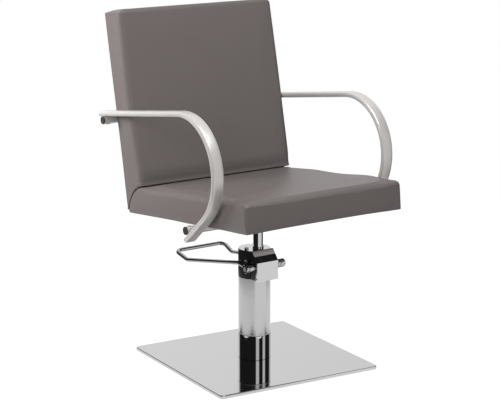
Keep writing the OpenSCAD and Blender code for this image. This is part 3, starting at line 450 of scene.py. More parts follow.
def cushion(top, bottom, width, edge_top, edge_bottom, shape):
    """A closed box of soft sides. Its side outline is two chains of as many points, top and
    bottom, joined by straight ends. Near the sides it shrinks along a quarter turn a of the edge's
    radius r: x = width / 2 - r (1 - cos a), and the outline moves in by RING_SHRINK r (1 - sin a).
    Straight rows between the chains fill the flat sides. shape moves the points to their crowned
    place. Gives points, faces, and for each point its place in the outline, or -1 inside a side,
    and whether it is on a side's rim."""
    n = len(top)
    up = np.linspace(0, 1, UP_SIDE + 2)[1:-1, None]
    rear = top[-1] + up * (bottom[-1] - top[-1])
    front = bottom[0] + up * (top[0] - bottom[0])
    ring = np.concatenate([top, rear, bottom[::-1], front])
    edge_top, edge_bottom = np.broadcast_to(edge_top, n), np.broadcast_to(edge_bottom, n)
    radius = np.concatenate([edge_top, np.linspace(edge_top[-1], edge_bottom[-1], UP_SIDE),
                             edge_bottom[::-1], np.linspace(edge_bottom[0], edge_top[0], UP_SIDE)])
    d = np.roll(ring, -1, 0) - np.roll(ring, 1, 0)
    clockwise = np.sum(ring[:, 0] * d[:, 1] - ring[:, 1] * d[:, 0]) < 0
    out = unit(np.stack([-d[:, 1], d[:, 0]], 1)) * (1 if clockwise else -1)
    turn = np.radians(np.linspace(0, 90, ROUND_STEPS))
    side_in = (1 - np.cos(turn))[:, None] * radius
    ring_in = (1 - np.sin(turn))[:, None] * radius * RING_SHRINK
    quarter = CROWD * math.pi / 2
    waves = np.linspace(-1, 1, ACROSS + 2)[1:-1, None]
    middle = np.sin(quarter * waves) / math.sin(quarter) * (width / 2 - radius)
    x = np.concatenate([-width / 2 + side_in, middle, (width / 2 - side_in)[::-1]])
    inset = np.concatenate([ring_in, np.zeros_like(middle), ring_in[::-1]])
    rings = ring - inset[..., None] * out
    count, size = x.shape
    points = np.concatenate([x[..., None], rings], -1).reshape(-1, 3)
    place = np.tile(np.arange(size), count)
    rim = np.zeros((count, size), bool)
    rim[[0, -1]] = True
    faces = [grid_faces(count, size, close_columns=True)]
    for k in (0, count - 1):
        start = len(points)
        chain_top = rings[k, :n]
        chain_bottom = rings[k, n + UP_SIDE:2 * n + UP_SIDE][::-1]
        rows = (chain_top + up[..., None] * (chain_bottom - chain_top))[:, 1:-1]
        inner = np.concatenate([np.full(rows.shape[:2] + (1,), x[k, 0]), rows], -1)
        points = np.concatenate([points, inner.reshape(-1, 3)])
        index = np.empty((UP_SIDE + 2, n), int)
        base = k * size
        index[0] = base + np.arange(n)
        index[-1] = base + (n + UP_SIDE + np.arange(n))[::-1]
        index[1:-1, -1] = base + n + np.arange(UP_SIDE)
        index[1:-1, 0] = base + 2 * n + UP_SIDE + np.arange(UP_SIDE)[::-1]
        index[1:-1, 1:-1] = start + np.arange(UP_SIDE * (n - 2)).reshape(UP_SIDE, n - 2)
        quads = index.ravel()[grid_faces(UP_SIDE + 2, n)]
        faces.append(quads if k else quads[:, ::-1])
    faces = np.concatenate(faces)
    inside = len(points) - len(place)
    place = np.concatenate([place, np.full(inside, -1)])
    rim = np.concatenate([rim.ravel(), np.zeros(inside, bool)])
    points = shape(points)
    return points, outwards(points, faces), place, rim


# Air that the cloth is blown up with, over this many frames, and the cloth itself
PRESSURE = 4.0
FRAMES = 20
CLOTH_MASS = 0.4
STRETCH_STIFFNESS = 20.0
BEND_STIFFNESS = 6.0
SHRINK = -0.012
# The most that a point moves: on the seat's top, on the back's front and elsewhere
SEAT_CAP = 0.003
BACK_CAP = 0.001
SIDE_CAP = 0.0012
NO_STEP = 1e-9
# Rounds of averaging that take the wrinkles out, as the foam under taut leather does
EVEN_ROUNDS = 60


def evened(steps, faces, held):
    """Steps averaged with their neighbours' along the faces' sides, round after round:
    step = (step + mean of the neighbours' steps) / 2, and 0 where held."""
    sides = np.concatenate([faces[:, [n, (n + 1) % 4]] for n in range(4)])
    sides = np.unique(np.sort(sides, axis=1), axis=0)
    at, beside_it = np.concatenate([sides, sides[:, ::-1]]).T
    count = np.bincount(at, minlength=len(steps))[:, None]
    for _ in range(EVEN_ROUNDS):
        around = [np.bincount(at, column[beside_it], len(steps)) for column in steps.T]
        steps = np.where(held[:, None], 0.0, (steps + np.stack(around, 1) / count) / 2)
    return steps


def inflate(points, faces, held, cap):
    """Blows a skin up with cloth pressure, held at its seams and where it rests. The step that
    each point takes is cut to cap."""
    scene = bpy.context.scene
    skin = make_piece("skin", points, faces)
    group = skin.vertex_groups.new(name="held")
    group.add(np.flatnonzero(held).tolist(), 1.0, "REPLACE")
    cloth = skin.modifiers.new("cloth", "CLOTH")
    settings = cloth.settings
    settings.use_pressure = True
    settings.uniform_pressure_force = PRESSURE
    settings.vertex_group_mass = "held"
    settings.mass = CLOTH_MASS
    settings.tension_stiffness = settings.compression_stiffness = STRETCH_STIFFNESS
    settings.bending_stiffness = BEND_STIFFNESS
    settings.shrink_min = SHRINK
    settings.effector_weights.gravity = 0.0
    cloth.collision_settings.use_collision = False
    cloth.point_cache.frame_start, cloth.point_cache.frame_end = 1, FRAMES
    for moment in range(1, FRAMES + 1):
        scene.frame_set(moment)
    blown = skin.evaluated_get(bpy.context.evaluated_depsgraph_get()).to_mesh()
    place = np.empty(3 * len(points))
    blown.vertices.foreach_get("co", place)
    bpy.data.objects.remove(skin)
    scene.frame_set(1)
    step = evened(place.reshape(-1, 3) - points, faces, held)
    length = np.maximum(np.linalg.norm(step, axis=1), NO_STEP)
    return points + step * np.minimum(1, cap / length)[:, None]


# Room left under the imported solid's skin, for the padding to swell into
UNDER = 0.001
# Points of a chain, and those of its rounded parts: the seat's front, lower, heel and rear edges
CHAIN = 96
FRONT_POINTS = 10
LOWER_POINTS = 5
HEEL_POINTS = 8
ROLL_POINTS = 18
# How much closer the points of the seat's top lie towards its front
FRONT_CROWD = 1.25
# Place in the outline of the seam over the seat's front
FRONT_SEAM = 9
# Edge rolls: sewn ones, the seat's sides, its front, its lower edges and its rear one
SEWN_R = 0.004
SIDE_R = 0.016
FRONT_R = 0.010
LOWER_R = 0.0025
HEEL_R = 0.009
# Where the seat's side rolls grow behind the front, and where they shrink again at the back
SIDE_GROWS = (-SEAT_FRONT + 0.008, -SEAT_FRONT + 0.06)
SIDE_SHRINKS = (0.19, 0.12)
# Powers of the curves across the width, along the seat, between two seams and up to an end
ACROSS_POWER = 4
CROWN_POWER = 3
SEAM_POWER = 2
END_POWER = 8
# Power by which a side's bulge grows from the middle to the side
SIDE_POWER = 12
SEAT_CROWN = 0.0025
# The share of the height over which the top's shape fades in
TOP_SHARE = (0.25, 1)
# How far the seat's padding swells over its flat top and down its rear roll: at its front, midway
# and at its rear, and where each sets in
SWELL = (0.0, 0.0045, 0.002)
SWELL_AHEAD = (-0.2, -SEAT_FRONT + 0.01)
SWELL_BEHIND = (-0.02, 0.15)
SWELL_UP = (0.015, SEAT_T - UNDER)
# How far the boxed sides bulge between their seams, and the depth of the front that bulges
BULGE = 0.0015
FRONT_DEPTH = (0.02, 0.002)
# Notches at the seat's front corners
PINCH = 0.004
PINCH_R = 0.009
# How far the sides' top edges sink before the back, and over which width and length
SIDE_SINK = 0.003
SINK_IN = (0.03, 0)
SINK_STARTS = (0, 0.07)
SINK_ENDS = (0.19, 0.13)
# How far the rim hangs below the underside: along the sides, more towards the front, and more at
# the front corners, and how far in it ends
RIM = (0.0028, 0.0016, 0.0024)
RIM_AHEAD = (0.04, -0.08)
RIM_CORNER = 0.09
RIM_IN = (0.03, 0.004)
# The seat's rear leans out towards its foot
LEAN = 0.018
LEAN_BEHIND = (0.1, 0.215)
LEAN_POWER = 1.1
# Height of the skin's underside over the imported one
BASE_Z = 0.0012


def lean_out(y, z):
    """y + LEAN * fade(y) * (1 - z / REAR_R) ** LEAN_POWER."""
    return y + LEAN * fade(y, *LEAN_BEHIND) * np.clip(1 - z / REAR_R, 0, 1) ** LEAN_POWER


def swelling(y, z):
    """How far the padding swells: SWELL's middle value, fading to its others ahead and behind."""
    front, middle, rear = SWELL
    most = middle + (front - middle) * fade(y, *SWELL_AHEAD)
    most = most + (rear - middle) * fade(y, *SWELL_BEHIND)
    return most * fade(z, *SWELL_UP)


def rim_hang(x, y):
    """How far the underside hangs: all of it at the sides and the front, none of it 30 mm in."""
    side, ahead = SEAT_W / 2 - np.abs(x), y + SEAT_FRONT
    corner = np.exp(-(np.hypot(side, ahead) / RIM_CORNER) ** 2)
    depth = RIM[0] + RIM[1] * fade(y, *RIM_AHEAD) + RIM[2] * corner
    return depth * fade(np.minimum(side, ahead), *RIM_IN)


def seat_lines():
    """Top and bottom chains of the seat's side outline, from front to rear, in its own plane."""
    front, rear = -SEAT_FRONT + UNDER, SEAT_REAR - UNDER
    high = SEAT_T - UNDER
    flat = CHAIN - FRONT_POINTS - ROLL_POINTS
    k = np.linspace(0, 1, flat + 2)[1:-1] ** FRONT_CROWD
    roll_start, rise_end = front + FRONT_R, SEAT_REAR - REAR_R
    top = np.concatenate([
        arc((front + FRONT_R, high - FRONT_R), FRONT_R, 180, 90, FRONT_POINTS),
        np.stack([roll_start + k * (rise_end - roll_start), np.full(flat, high)], 1),
        arc((SEAT_REAR - REAR_R, SEAT_T - REAR_R), REAR_R - UNDER, 90, 0, ROLL_POINTS)])
    bottom = np.concatenate([
        arc((front + LOWER_R, BASE_Z + LOWER_R), LOWER_R, 180, 270, LOWER_POINTS),
        line((front + LOWER_R, BASE_Z), (rear - HEEL_R, BASE_Z),
             CHAIN - LOWER_POINTS - HEEL_POINTS),
        arc((rear - HEEL_R, BASE_Z + HEEL_R), HEEL_R, 270, 360, HEEL_POINTS)])
    return top, bottom


def seat_shape(points):
    """The top swells and is crowned, and is pinched at the front corners: it rises by swelling +
    (crown - pinch - sink) * fade(height). The front and the sides bulge between their seams, by
    1 - (2 height - 1) ** 2, the rim hangs and the rear leans out."""
    x, y, z = points.T
    side, ahead = SEAT_W / 2 - np.abs(x), y + SEAT_FRONT
    height = np.clip(z / SEAT_T, 0, 1)
    across = swell(x / SEAT_W + 0.5, ACROSS_POWER)
    crown = SEAT_CROWN * swell(ahead / (SEAT_REAR - REAR_R + SEAT_FRONT), CROWN_POWER) * across
    pinch = PINCH * np.exp(-(np.hypot(side, ahead) / PINCH_R) ** 2)
    sink = SIDE_SINK * fade(side, *SINK_IN) * fade(y, *SINK_STARTS) * fade(y, *SINK_ENDS)
    rise = swelling(y, z) + (crown - pinch - sink) * fade(height, *TOP_SHARE)
    drop = rim_hang(x, y) * (1 - height) ** 2
    forward = BULGE * across * swell(height, SEAM_POWER) * fade(ahead, *FRONT_DEPTH)
    outward = BULGE * np.abs(2 * x / SEAT_W) ** SIDE_POWER * swell(height, SEAM_POWER)
    outward = outward * swell(ahead / (SEAT_REAR + SEAT_FRONT), END_POWER)
    plane = on_seat(np.stack([lean_out(y, z) - forward, z + rise - drop], 1))
    return np.column_stack([x + np.sign(x) * outward, plane])


# Where the back's front meets the seat's rear roll
ROLL_MID = (SEAT_REAR - REAR_R, SEAT_T - REAR_R)
ARC_MID = on_seat(ROLL_MID)
ARC_R = REAR_R + SOFT_GAP
MEET_OUT = BACK_T + BACK_LUMBAR - (ARC_MID - FOOT) @ BACK_OUT
MEET_H = (ARC_MID - FOOT) @ BACK_UP + math.sqrt(ARC_R ** 2 - MEET_OUT ** 2)
MEET = on_back((MEET_H, BACK_T + BACK_LUMBAR))
# Points of the back's tip, the part against the seat, its top edges and its heel's curve
TIP_POINTS = 4
LOW_POINTS = 20
EDGE_POINTS = 8
CURVE_POINTS = 14
# The tip under the seat's rear roll, and the curve from it to the rear face
TIP_Z = 0.005
TIP_W = 0.001
HEEL_BEND = 0.006
HEEL_H = 0.035
# The cushion's rear face lies behind the panel's
REAR_IN = 0.001
TOP_R = 0.010
# The front's edge rolls, and where they grow above the seat
FRONT_EDGE_R = 0.013
FRONT_EDGE_GROWS = (MEET_H - 0.02, MEET_H + 0.04)
LUMBAR_POWER = 4
BACK_CROWN = 0.002
# How far the front's padding swells, where it sets in, and the share of the depth that swells
BACK_SWELL = 0.007
SWELL_GROWS = (MEET_H, MEET_H + 0.05)
FRONT_SHARE = (0.5, 1)
# How far the top rises, how much more midway between its seams, and how it falls at its corners
TOP_RISE = 0.006
TOP_ARCH = 0.3
TOP_DEPTH = (0.03, 0.002)
CORNER_FALL = 0.003
CORNER_R = 0.012
# How far the left and the right side (-X and +X) bulge and widen upwards, and where
BACK_BULGE = (0.0045, 0.0085)
BULGE_DEPTH = (0.1, 0.6)
BULGE_POWER = 1.5
WIDER = (0.0045, 0.0)
WIDER_UP = (0.1, BACK_L)


def back_lines():
    """Front and rear chains of the back's side outline, from the tip under the seat's rear roll
    to the top. The heel is the curve (1 - t) ** 2 a + 2 t (1 - t) b + t ** 2 c."""
    meet_turn = math.degrees(math.atan2(*(MEET - ARC_MID)[::-1])) + SEAT_TILT
    high = BACK_L - UNDER
    tip_y = SEAT_REAR + SOFT_GAP + UNDER
    low = np.concatenate([line((tip_y, TIP_Z), (tip_y, ROLL_MID[1]), TIP_POINTS),
                          arc(ROLL_MID, ARC_R + UNDER, 0, meet_turn, LOW_POINTS)])
    low = on_seat(np.stack([lean_out(*low.T), low[:, 1] + swelling(*low.T)], 1))
    k = np.linspace(0, 1, CHAIN - len(low) - EDGE_POINTS + 2)[1:-1]
    out = BACK_T - UNDER + BACK_LUMBAR * (1 - k) ** LUMBAR_POWER
    front = np.concatenate([
        low,
        on_back(np.stack([MEET_H + k * (high - TOP_R - MEET_H), out], 1)),
        on_back(arc((high - TOP_R, BACK_T - UNDER - TOP_R), TOP_R, 90, 0, EDGE_POINTS))])
    t = np.linspace(0, 1, CURVE_POINTS)[:, None]
    start = front[0] + np.array([TIP_W, 0])
    bend, end = on_back((HEEL_BEND, REAR_IN)), on_back((HEEL_H, REAR_IN))
    rear = np.concatenate([
        (1 - t) ** 2 * start + 2 * t * (1 - t) * bend + t ** 2 * end,
        line(end, on_back((high - SEWN_R, REAR_IN)), CHAIN - CURVE_POINTS - EDGE_POINTS),
        on_back(arc((high - SEWN_R, SEWN_R + REAR_IN), SEWN_R, 270, 360, EDGE_POINTS))])
    return front, rear


def back_shape(points):
    """The front swells and is crowned. The top rises, more midway between its seams, and falls at
    its corners. The sides bulge in their front half and widen a little upwards, by
    |2 x / width| ** SIDE_POWER of it."""
    x = points[:, 0]
    plane = points[:, 1:] - FOOT
    h, d = plane @ BACK_UP, plane @ BACK_OUT
    side, under_top = SEAT_W / 2 - np.abs(x), BACK_L - h
    across = swell(x / SEAT_W + 0.5, ACROSS_POWER)
    depth = np.clip(d / BACK_T, 0, 1)
    facing = fade(depth, *FRONT_SHARE)
    crown = BACK_CROWN * swell((h - MEET_H) / (BACK_L - MEET_H), ACROSS_POWER) * across
    out = (crown + BACK_SWELL * fade(h, *SWELL_GROWS)) * facing
    lift = TOP_RISE * (1 + TOP_ARCH * across * swell(depth, SEAM_POWER))
    lift = (lift - CORNER_FALL * np.exp(-(side / CORNER_R) ** 2)) * fade(under_top, *TOP_DEPTH)
    bulge, wider = (np.where(x > 0, right, left) for left, right in (BACK_BULGE, WIDER))
    outward = bulge * fade(depth, *BULGE_DEPTH) * swell(h / BACK_L, BULGE_POWER)
    outward = (outward + wider * fade(h, *WIDER_UP)) * np.abs(2 * x / SEAT_W) ** SIDE_POWER
    moved = points[:, 1:] + out[:, None] * BACK_OUT + lift[:, None] * BACK_UP
    return np.column_stack([x + np.sign(x) * outward, moved])


SEAM_DEPTH = 0.0015


def upholster(name, points, faces, seam, held, cap):
    """A blown-up skin whose seams are drawn in. Each point keeps how near to a seam it is."""
    points = inflate(points, faces, seam | held, cap)
    piece = make_piece(name, points, faces)
    normals = np.empty(3 * len(points))
    piece.data.vertices.foreach_get("normal", normals)
    points = points - SEAM_DEPTH * seam[:, None] * normals.reshape(-1, 3)
    piece.data.vertices.foreach_set("co", points.ravel())
    mark = piece.data.attributes.new("seam", "FLOAT", "POINT")
    mark.data.foreach_set("value", seam.astype(float))
    modifier = piece.modifiers.new("smooth", "SUBSURF")
    modifier.levels = modifier.render_levels = 1
    return piece


def make_seat():
    top, bottom = seat_lines()
    edge = fade(top[:, 0], *SIDE_GROWS) * fade(top[:, 0], *SIDE_SHRINKS)
    edge = SEWN_R + (SIDE_R - SEWN_R) * edge
    points, faces, place, rim = cushion(top, bottom, SEAT_W, edge, LOWER_R, seat_shape)
    on_top = (place >= 0) & (place < CHAIN)
    under = (place >= CHAIN + UP_SIDE) & (place < 2 * CHAIN + UP_SIDE)
    corner = (place >= 2 * CHAIN + UP_SIDE) | (place >= 0) & (place <= FRONT_SEAM)
    seam = rim & corner | (place == FRONT_SEAM)
    held = under | (place >= CHAIN - ROLL_POINTS) & (place < CHAIN + UP_SIDE)
    cap = np.where(on_top, SEAT_CAP, SIDE_CAP)
    return upholster("seat_upholstery", points, faces, seam, held | rim, cap)


def make_back():
    front, rear = back_lines()
    edge = fade((front - FOOT) @ BACK_UP, *FRONT_EDGE_GROWS)
    edge = SEWN_R + (FRONT_EDGE_R - SEWN_R) * edge
    points, faces, place, rim = cushion(rear, front, SEAT_W, SEWN_R, edge, back_shape)
    ahead = (place >= CHAIN + UP_SIDE) & (place < 2 * CHAIN + UP_SIDE)
    # The front chain runs from the top down here, so its last points are the low ones
    low = place >= 2 * CHAIN + UP_SIDE - TIP_POINTS - LOW_POINTS - 2
    behind = (place >= 0) & (place < CHAIN)
    cap = np.where(ahead, BACK_CAP, SIDE_CAP)
    return upholster("back_upholstery", points, faces, rim & behind, low | behind | rim, cap)


def make_cushions():
    seat, back = make_seat(), make_back()
    for piece, node in ((seat, "seat_cushion"), (back, "back_cushion")):
        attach(piece, "seat")
        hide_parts(node)
    return seat, back


# Arms: flat-oval tubes, each in an upright plane beside the seat

ARM_X = 0.279
ARM_W = 0.036
ARM_T = 0.0145
ARM_BEND_R = 0.15
# Straight lengths past the rear and the front cross tube
ARM_OVERHANG = 0.014
TAIL_L = 0.018
CROSS_D = 0.022
# Places of the cross tubes: the front one under the seat, the rear one up the back
FRONT_TUBE_Y = -0.101
REAR_TUBE_H = 0.258
FRONT_TUBE = on_seat((FRONT_TUBE_Y, -CROSS_D / 2))
REAR_TUBE = on_back((REAR_TUBE_H, -CROSS_D / 2))
# How steeply the upper part and the tail fall towards their tips, in degrees
UPPER_FALL = 7.8
TAIL_FALL = 40.5
ARM_UPPER = turned(180 - UPPER_FALL)
ARM_TAIL = turned(-TAIL_FALL)
ARM_TURN = 180 - TAIL_FALL + UPPER_FALL
# Points round half the oval, and along the arm's tips, upper part, bend and tail
ROUND_SIDE = 12
TIP_STEPS = 8
UPPER_STEPS = 12
BEND_STEPS = 97
TAIL_STEPS = 5


def beside(way):
    """The direction a quarter turn to the left of a way in the side plane."""
    return np.stack([-way[..., 1], way[..., 0]], -1)


def make_arm(name, side):
    """An oval ring at each place of the arm's line: straight, round the bend, straight.
    x = side * ARM_X +- half the flat + r cos a, and r sin a square to the line, with r = ARM_T / 2.
    Towards both tips r falls as the cosine of a turn whose sine carries the ring on."""
    reach = ARM_T / 2 + CROSS_D / 2
    upper = REAR_TUBE - reach * beside(ARM_UPPER)
    tail = FRONT_TUBE - reach * beside(ARM_TAIL)
    normals = np.stack([beside(ARM_UPPER), beside(ARM_TAIL)])
    along = np.array([upper @ normals[0], tail @ normals[1]])
    middle = np.linalg.solve(normals, along + ARM_BEND_R)
    turn = np.radians(np.linspace(0, ARM_TURN, BEND_STEPS))[:, None]
    heading = ARM_UPPER * np.cos(turn) + beside(ARM_UPPER) * np.sin(turn)
    bend = middle - ARM_BEND_R * beside(heading)
    rear_end, tail_end = upper - ARM_OVERHANG * ARM_UPPER, tail + TAIL_L * ARM_TAIL
    tip = np.radians(np.linspace(90, 0, TIP_STEPS))[:, None]
    places = np.concatenate([
        rear_end - ARM_T / 2 * np.sin(tip) * ARM_UPPER,
        line(rear_end, bend[0], UPPER_STEPS), bend, line(bend[-1], tail_end, TAIL_STEPS),
        (tail_end + ARM_T / 2 * np.sin(tip) * ARM_TAIL)[::-1]])
    r = np.full(len(places), ARM_T / 2)
    r[:TIP_STEPS] = ARM_T / 2 * np.cos(tip[:, 0])
    r[-TIP_STEPS:] = r[:TIP_STEPS][::-1]
    ways = np.concatenate([np.repeat(ARM_UPPER[None], TIP_STEPS + UPPER_STEPS, 0), heading,
                           np.repeat(ARM_TAIL[None], TAIL_STEPS + TIP_STEPS, 0)])
    a = np.radians(np.linspace(-90, 90, ROUND_SIDE))
    a = np.concatenate([a, a + math.pi])
    end = np.repeat([1.0, -1.0], ROUND_SIDE)
    x = side * ARM_X + end * (ARM_W - ARM_T) / 2 + r[:, None] * np.cos(a)
    plane = places[:, None] + (r[:, None] * np.sin(a))[..., None] * beside(ways)[:, None]
    rings = np.concatenate([x[..., None], plane], -1)
    rows, columns = rings.shape[:2]
    points, faces = rings.reshape(-1, 3), grid_faces(rows, columns, close_columns=True)
    piece = make_piece(name, points, outwards(points, faces))
    weld(piece)
    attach(piece, "seat")
    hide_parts(name.replace("arm_", "armrest_"))
    return piece


# Pedal: a bent round rod

# Corners of the rod's line from the left hub to the tread bar, and their bends' radii
PEDAL_HALF = np.array([[-0.05317, -0.03811, 0.28429], [-0.054, 0.0, 0.2905],
                       [-0.07801, 0.222, 0.255], [-0.0835, 0.274, 0.2715]])
PEDAL_RADII = (0.03, 0.024, 0.016)
PEDAL_ROD_D = 0.012
# Points round the rod and along each of its bends
ROD_POINTS = 24
ROD_BEND_POINTS = 14


def rounded(corners, radii):
    """A line through corners, with each inner corner replaced by a circular arc that touches both
    its sides: middle + (sin((1 - t) s) start + sin(t s) end) / sin s, over its sweep s."""
    t = np.linspace(0, 1, ROD_BEND_POINTS)[:, None]
    parts = [corners[:1]]
    for before, at, after, r in zip(corners, corners[1:], corners[2:], radii):
        a, b = unit(before - at), unit(after - at)
        half = math.acos(np.clip(a @ b, -1, 1)) / 2
        middle = at + unit(a + b) * r / math.sin(half)
        start = at + a * r / math.tan(half) - middle
        end = at + b * r / math.tan(half) - middle
        s = math.pi - 2 * half
        parts.append(middle + (np.sin((1 - t) * s) * start + np.sin(t * s) * end) / math.sin(s))
    return np.concatenate([*parts, corners[-1:]])


def round_profile(d, count):
    a = np.linspace(0, 2 * math.pi, count, endpoint=False)
    return d / 2 * np.stack([np.cos(a), np.sin(a)], -1)


def make_pedal():
    corners = np.concatenate([PEDAL_HALF, (PEDAL_HALF * [-1, 1, 1])[::-1]])
    path = rounded(corners, PEDAL_RADII + PEDAL_RADII[::-1])
    points, faces = swept(path, np.array([[0.0, 0.0, 1.0]]), round_profile(PEDAL_ROD_D, ROD_POINTS))
    piece = make_piece("pedal_rod", points, faces)
    weld(piece)
    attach(piece, "pedal")
    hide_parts("pedal_loop")
    return piece


# Rear panel: leather over a board, let into the back's rear face, with piping round it

PANEL_W = 0.477
PANEL_START = 0.052
PANEL_L = 0.47
PANEL_R = 0.014
PANEL_CORNER_POINTS = 8
# The rings of its edge: how far in each lies, and how far proud
PANEL_INSETS = (0.0, 0.0, 0.0006, 0.002, 0.005, 0.009)
PANEL_HEIGHTS = (-0.0025, -0.001, -0.0003, 0.0, 0.0, 0.0)
PIPING_D = 0.004
PIPING_POINTS = 12
PIPING_CORNER_POINTS = 10
# The piping's middle line: how far outside the panel, and how deep in the rear face
PIPING_OUTSIDE = 0.0012
PIPING_SUNK = 0.0006


def panel_outline(inset, count):
    """Closed rounded rectangle in (x, height up the back's rear), by arcs at its four corners."""
    half_w, half_l, r = PANEL_W / 2 - inset, PANEL_L / 2 - inset, PANEL_R - inset
    parts = []
    for k, (sx, sy) in enumerate(((1, 1), (-1, 1), (-1, -1), (1, -1))):
        centre = (sx * (half_w - r), sy * (half_l - r))
        parts.append(arc(centre, r, 90 * k, 90 * k + 90, count))
    return np.concatenate(parts) + [0, PANEL_START + PANEL_L / 2]


def on_rear(outline, proud):
    """Points of the back's rear face, moved out of it to the rear."""
    x, h = outline.T
    return np.column_stack([x, on_back(np.stack([h, np.full(len(h), -proud)], 1))])


def make_panel():
    """Rings that shrink to a flat middle: the panel's edge rises steeply, then stays flat, where
    the straps and saddles rest on it."""
    rings = [on_rear(panel_outline(inset, PANEL_CORNER_POINTS), height)
             for inset, height in zip(PANEL_INSETS, PANEL_HEIGHTS)]
    size = len(rings[0])
    points = np.concatenate(rings)
    faces = grid_faces(len(rings), size, close_columns=True)
    piece = make_piece("back_lining", points, faces)
    mesh = bmesh.new()
    mesh.from_mesh(piece.data)
    mesh.verts.ensure_lookup_table()
    mesh.faces.new([mesh.verts[i] for i in range((len(rings) - 1) * size, len(rings) * size)])
    mesh.faces.new([mesh.verts[i] for i in reversed(range(size))])
    bmesh.ops.recalc_face_normals(mesh, faces=mesh.faces)
    for face in mesh.faces:
        face.smooth = len(face.verts) == 4
    mesh.to_mesh(piece.data)
    mesh.free()
    path = on_rear(panel_outline(-PIPING_OUTSIDE, PIPING_CORNER_POINTS), -PIPING_SUNK)
    square = np.array([[0.0, -BACK_UP[1], BACK_UP[0]]])
    points, faces = swept(path, square, round_profile(PIPING_D, PIPING_POINTS), closed=True)
    piping = make_piece("back_piping", points, faces)
    for soft in (piece, piping):
        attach(soft, "seat")
    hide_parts("back_panel")
    return piece, piping


# Cloth under the seat, stapled to the board's edge

CLOTH_W = 0.477
CLOTH_FRONT = 0.309
CLOTH_REAR = 0.219
CLOTH_T = 0.0008
CLOTH_POINTS = (97, 107)
# Height of the cloth's middle over the seat's underside, where it doesn't hang
CLOTH_Z = 0.0007
# Puckers between the staples: their depth, distance from the edge and width
PUCKER = 0.0002
PUCKER_IN = 0.02
PUCKER_W = 0.012
# Length, width and thickness of a staple, and the row they stand in
STAPLE = (0.010, 0.0011, 0.0009)
STAPLE_STEP = 0.042
STAPLE_IN = 0.006
STAPLE_START = 0.02


def cloth_height(x, y):
    """Height of the cloth's middle over the seat's underside plane. It hangs with the cushion's
    front edge, and puckers between its staples: CLOTH_Z - hang - PUCKER (cos(2 pi x / step) +
    cos(2 pi y / step)) exp(-((edge - PUCKER_IN) / PUCKER_W) ** 2)."""
    edge = np.minimum(CLOTH_W / 2 - np.abs(x), np.minimum(y + CLOTH_FRONT, CLOTH_REAR - y))
    waves = np.cos(2 * math.pi * x / STAPLE_STEP) + np.cos(2 * math.pi * y / STAPLE_STEP)
    puckers = PUCKER * waves * np.exp(-((edge - PUCKER_IN) / PUCKER_W) ** 2)
    return CLOTH_Z - rim_hang(x, y) - puckers


def make_dust_cloth():
    x, y = np.meshgrid(np.linspace(-CLOTH_W / 2, CLOTH_W / 2, CLOTH_POINTS[0]),
                       np.linspace(-CLOTH_FRONT, CLOTH_REAR, CLOTH_POINTS[1]), indexing="ij")
    plane = on_seat(np.stack([y.ravel(), cloth_height(x, y).ravel()], 1))
    points = np.column_stack([x.ravel(), plane])
    piece = make_piece("dust_cloth", points, grid_faces(*x.shape)[:, ::-1])
    solid = piece.modifiers.new("thickness", "SOLIDIFY")
    solid.thickness = CLOTH_T
    solid.offset = 0.0
    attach(piece, "seat")
    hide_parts("seat_underside_cloth")
    return piece


def make_staples():
    """Steel staples in a row inside the cloth's edge, each a thin bar along it."""
    in_w, front, rear = CLOTH_W / 2 - STAPLE_IN, -CLOTH_FRONT + STAPLE_IN, CLOTH_REAR - STAPLE_IN
    xs = np.arange(-in_w + STAPLE_START, in_w, STAPLE_STEP)
    ys = np.arange(front + STAPLE_START, rear, STAPLE_STEP)
    across = np.concatenate([np.column_stack([xs, np.full(len(xs), y)]) for y in (front, rear)])
    down = np.concatenate([np.column_stack([np.full(len(ys), x), ys]) for x in (-in_w, in_w)])
    box = np.array([[x, y, z] for x in (-0.5, 0.5) for y in (-0.5, 0.5) for z in (-0.5, 0.5)])
    sides = np.array([(0, 1, 3, 2), (4, 6, 7, 5), (0, 4, 5, 1),
                      (2, 3, 7, 6), (0, 2, 6, 4), (1, 5, 7, 3)])
    points, faces = [], []
    for group, size in ((across, STAPLE), (down, (STAPLE[1], STAPLE[0], STAPLE[2]))):
        at = np.column_stack([group, cloth_height(*group.T) - CLOTH_T / 2])
        local = (at[:, None] + box * size).reshape(-1, 3)
        start = sum(len(p) for p in points)
        points.append(np.column_stack([local[:, 0], on_seat(local[:, 1:])]))
        boxes = len(box) * np.arange(len(group))[:, None, None]
        faces.append((sides + start + boxes).reshape(-1, 4))
    piece = make_piece("staples", np.concatenate(points), np.concatenate(faces), smooth=False)
    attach(piece, "seat")
    return piece


# Finishes

# Tones are pairs that a pattern runs between. Patterns are in features per metre
LEATHER = ((0.152, 0.133, 0.129), (0.168, 0.148, 0.144))
# Painted shade along the seams' grooves: its colour, and how much of it the seams take
LEATHER_SEAM_SHADE = (0.05, 0.043, 0.041)
SEAM_SHADE_SHARE = 0.5
CLOUDS = 9.0
MOTTLES = 60.0
PORES = 260.0
CELLS = 900.0
CELL_EDGE = 0.18
CELL_DEPTH = 0.00006
CHROME = (0.58, 0.58, 0.585)
# The pedal's chrome, a darker copy of the chrome tone: painted shade
SHADED_PEDAL_CHROME = (0.42, 0.42, 0.425)
POLISH = 0.03
SATIN = (0.54, 0.54, 0.54)
HAZE = 14.0
# Noise is stretched by these for rings round a column, and for wood grain along x
RING_STRETCH = (6.0, 6.0, 900.0)
GRAIN_STRETCH = (9.0, 160.0, 160.0)
RING_DEPTH = 0.00002
ARM_PAINT = ((0.66, 0.635, 0.615), (0.73, 0.705, 0.685))
ARM_CLOUDS = 12.0
FLECKS = 700.0
FLECK_DEPTH = 0.00003
TOOTH = 500.0
TOOTH_DEPTH = 0.00005
HEAD_BLACK = ((0.008, 0.008, 0.009), (0.014, 0.014, 0.015))
CAST = 120.0
CAST_DEPTH = 0.00004
PLYWOOD = ((0.42, 0.27, 0.14), (0.58, 0.42, 0.25))
PLY_DEPTH = 0.0001


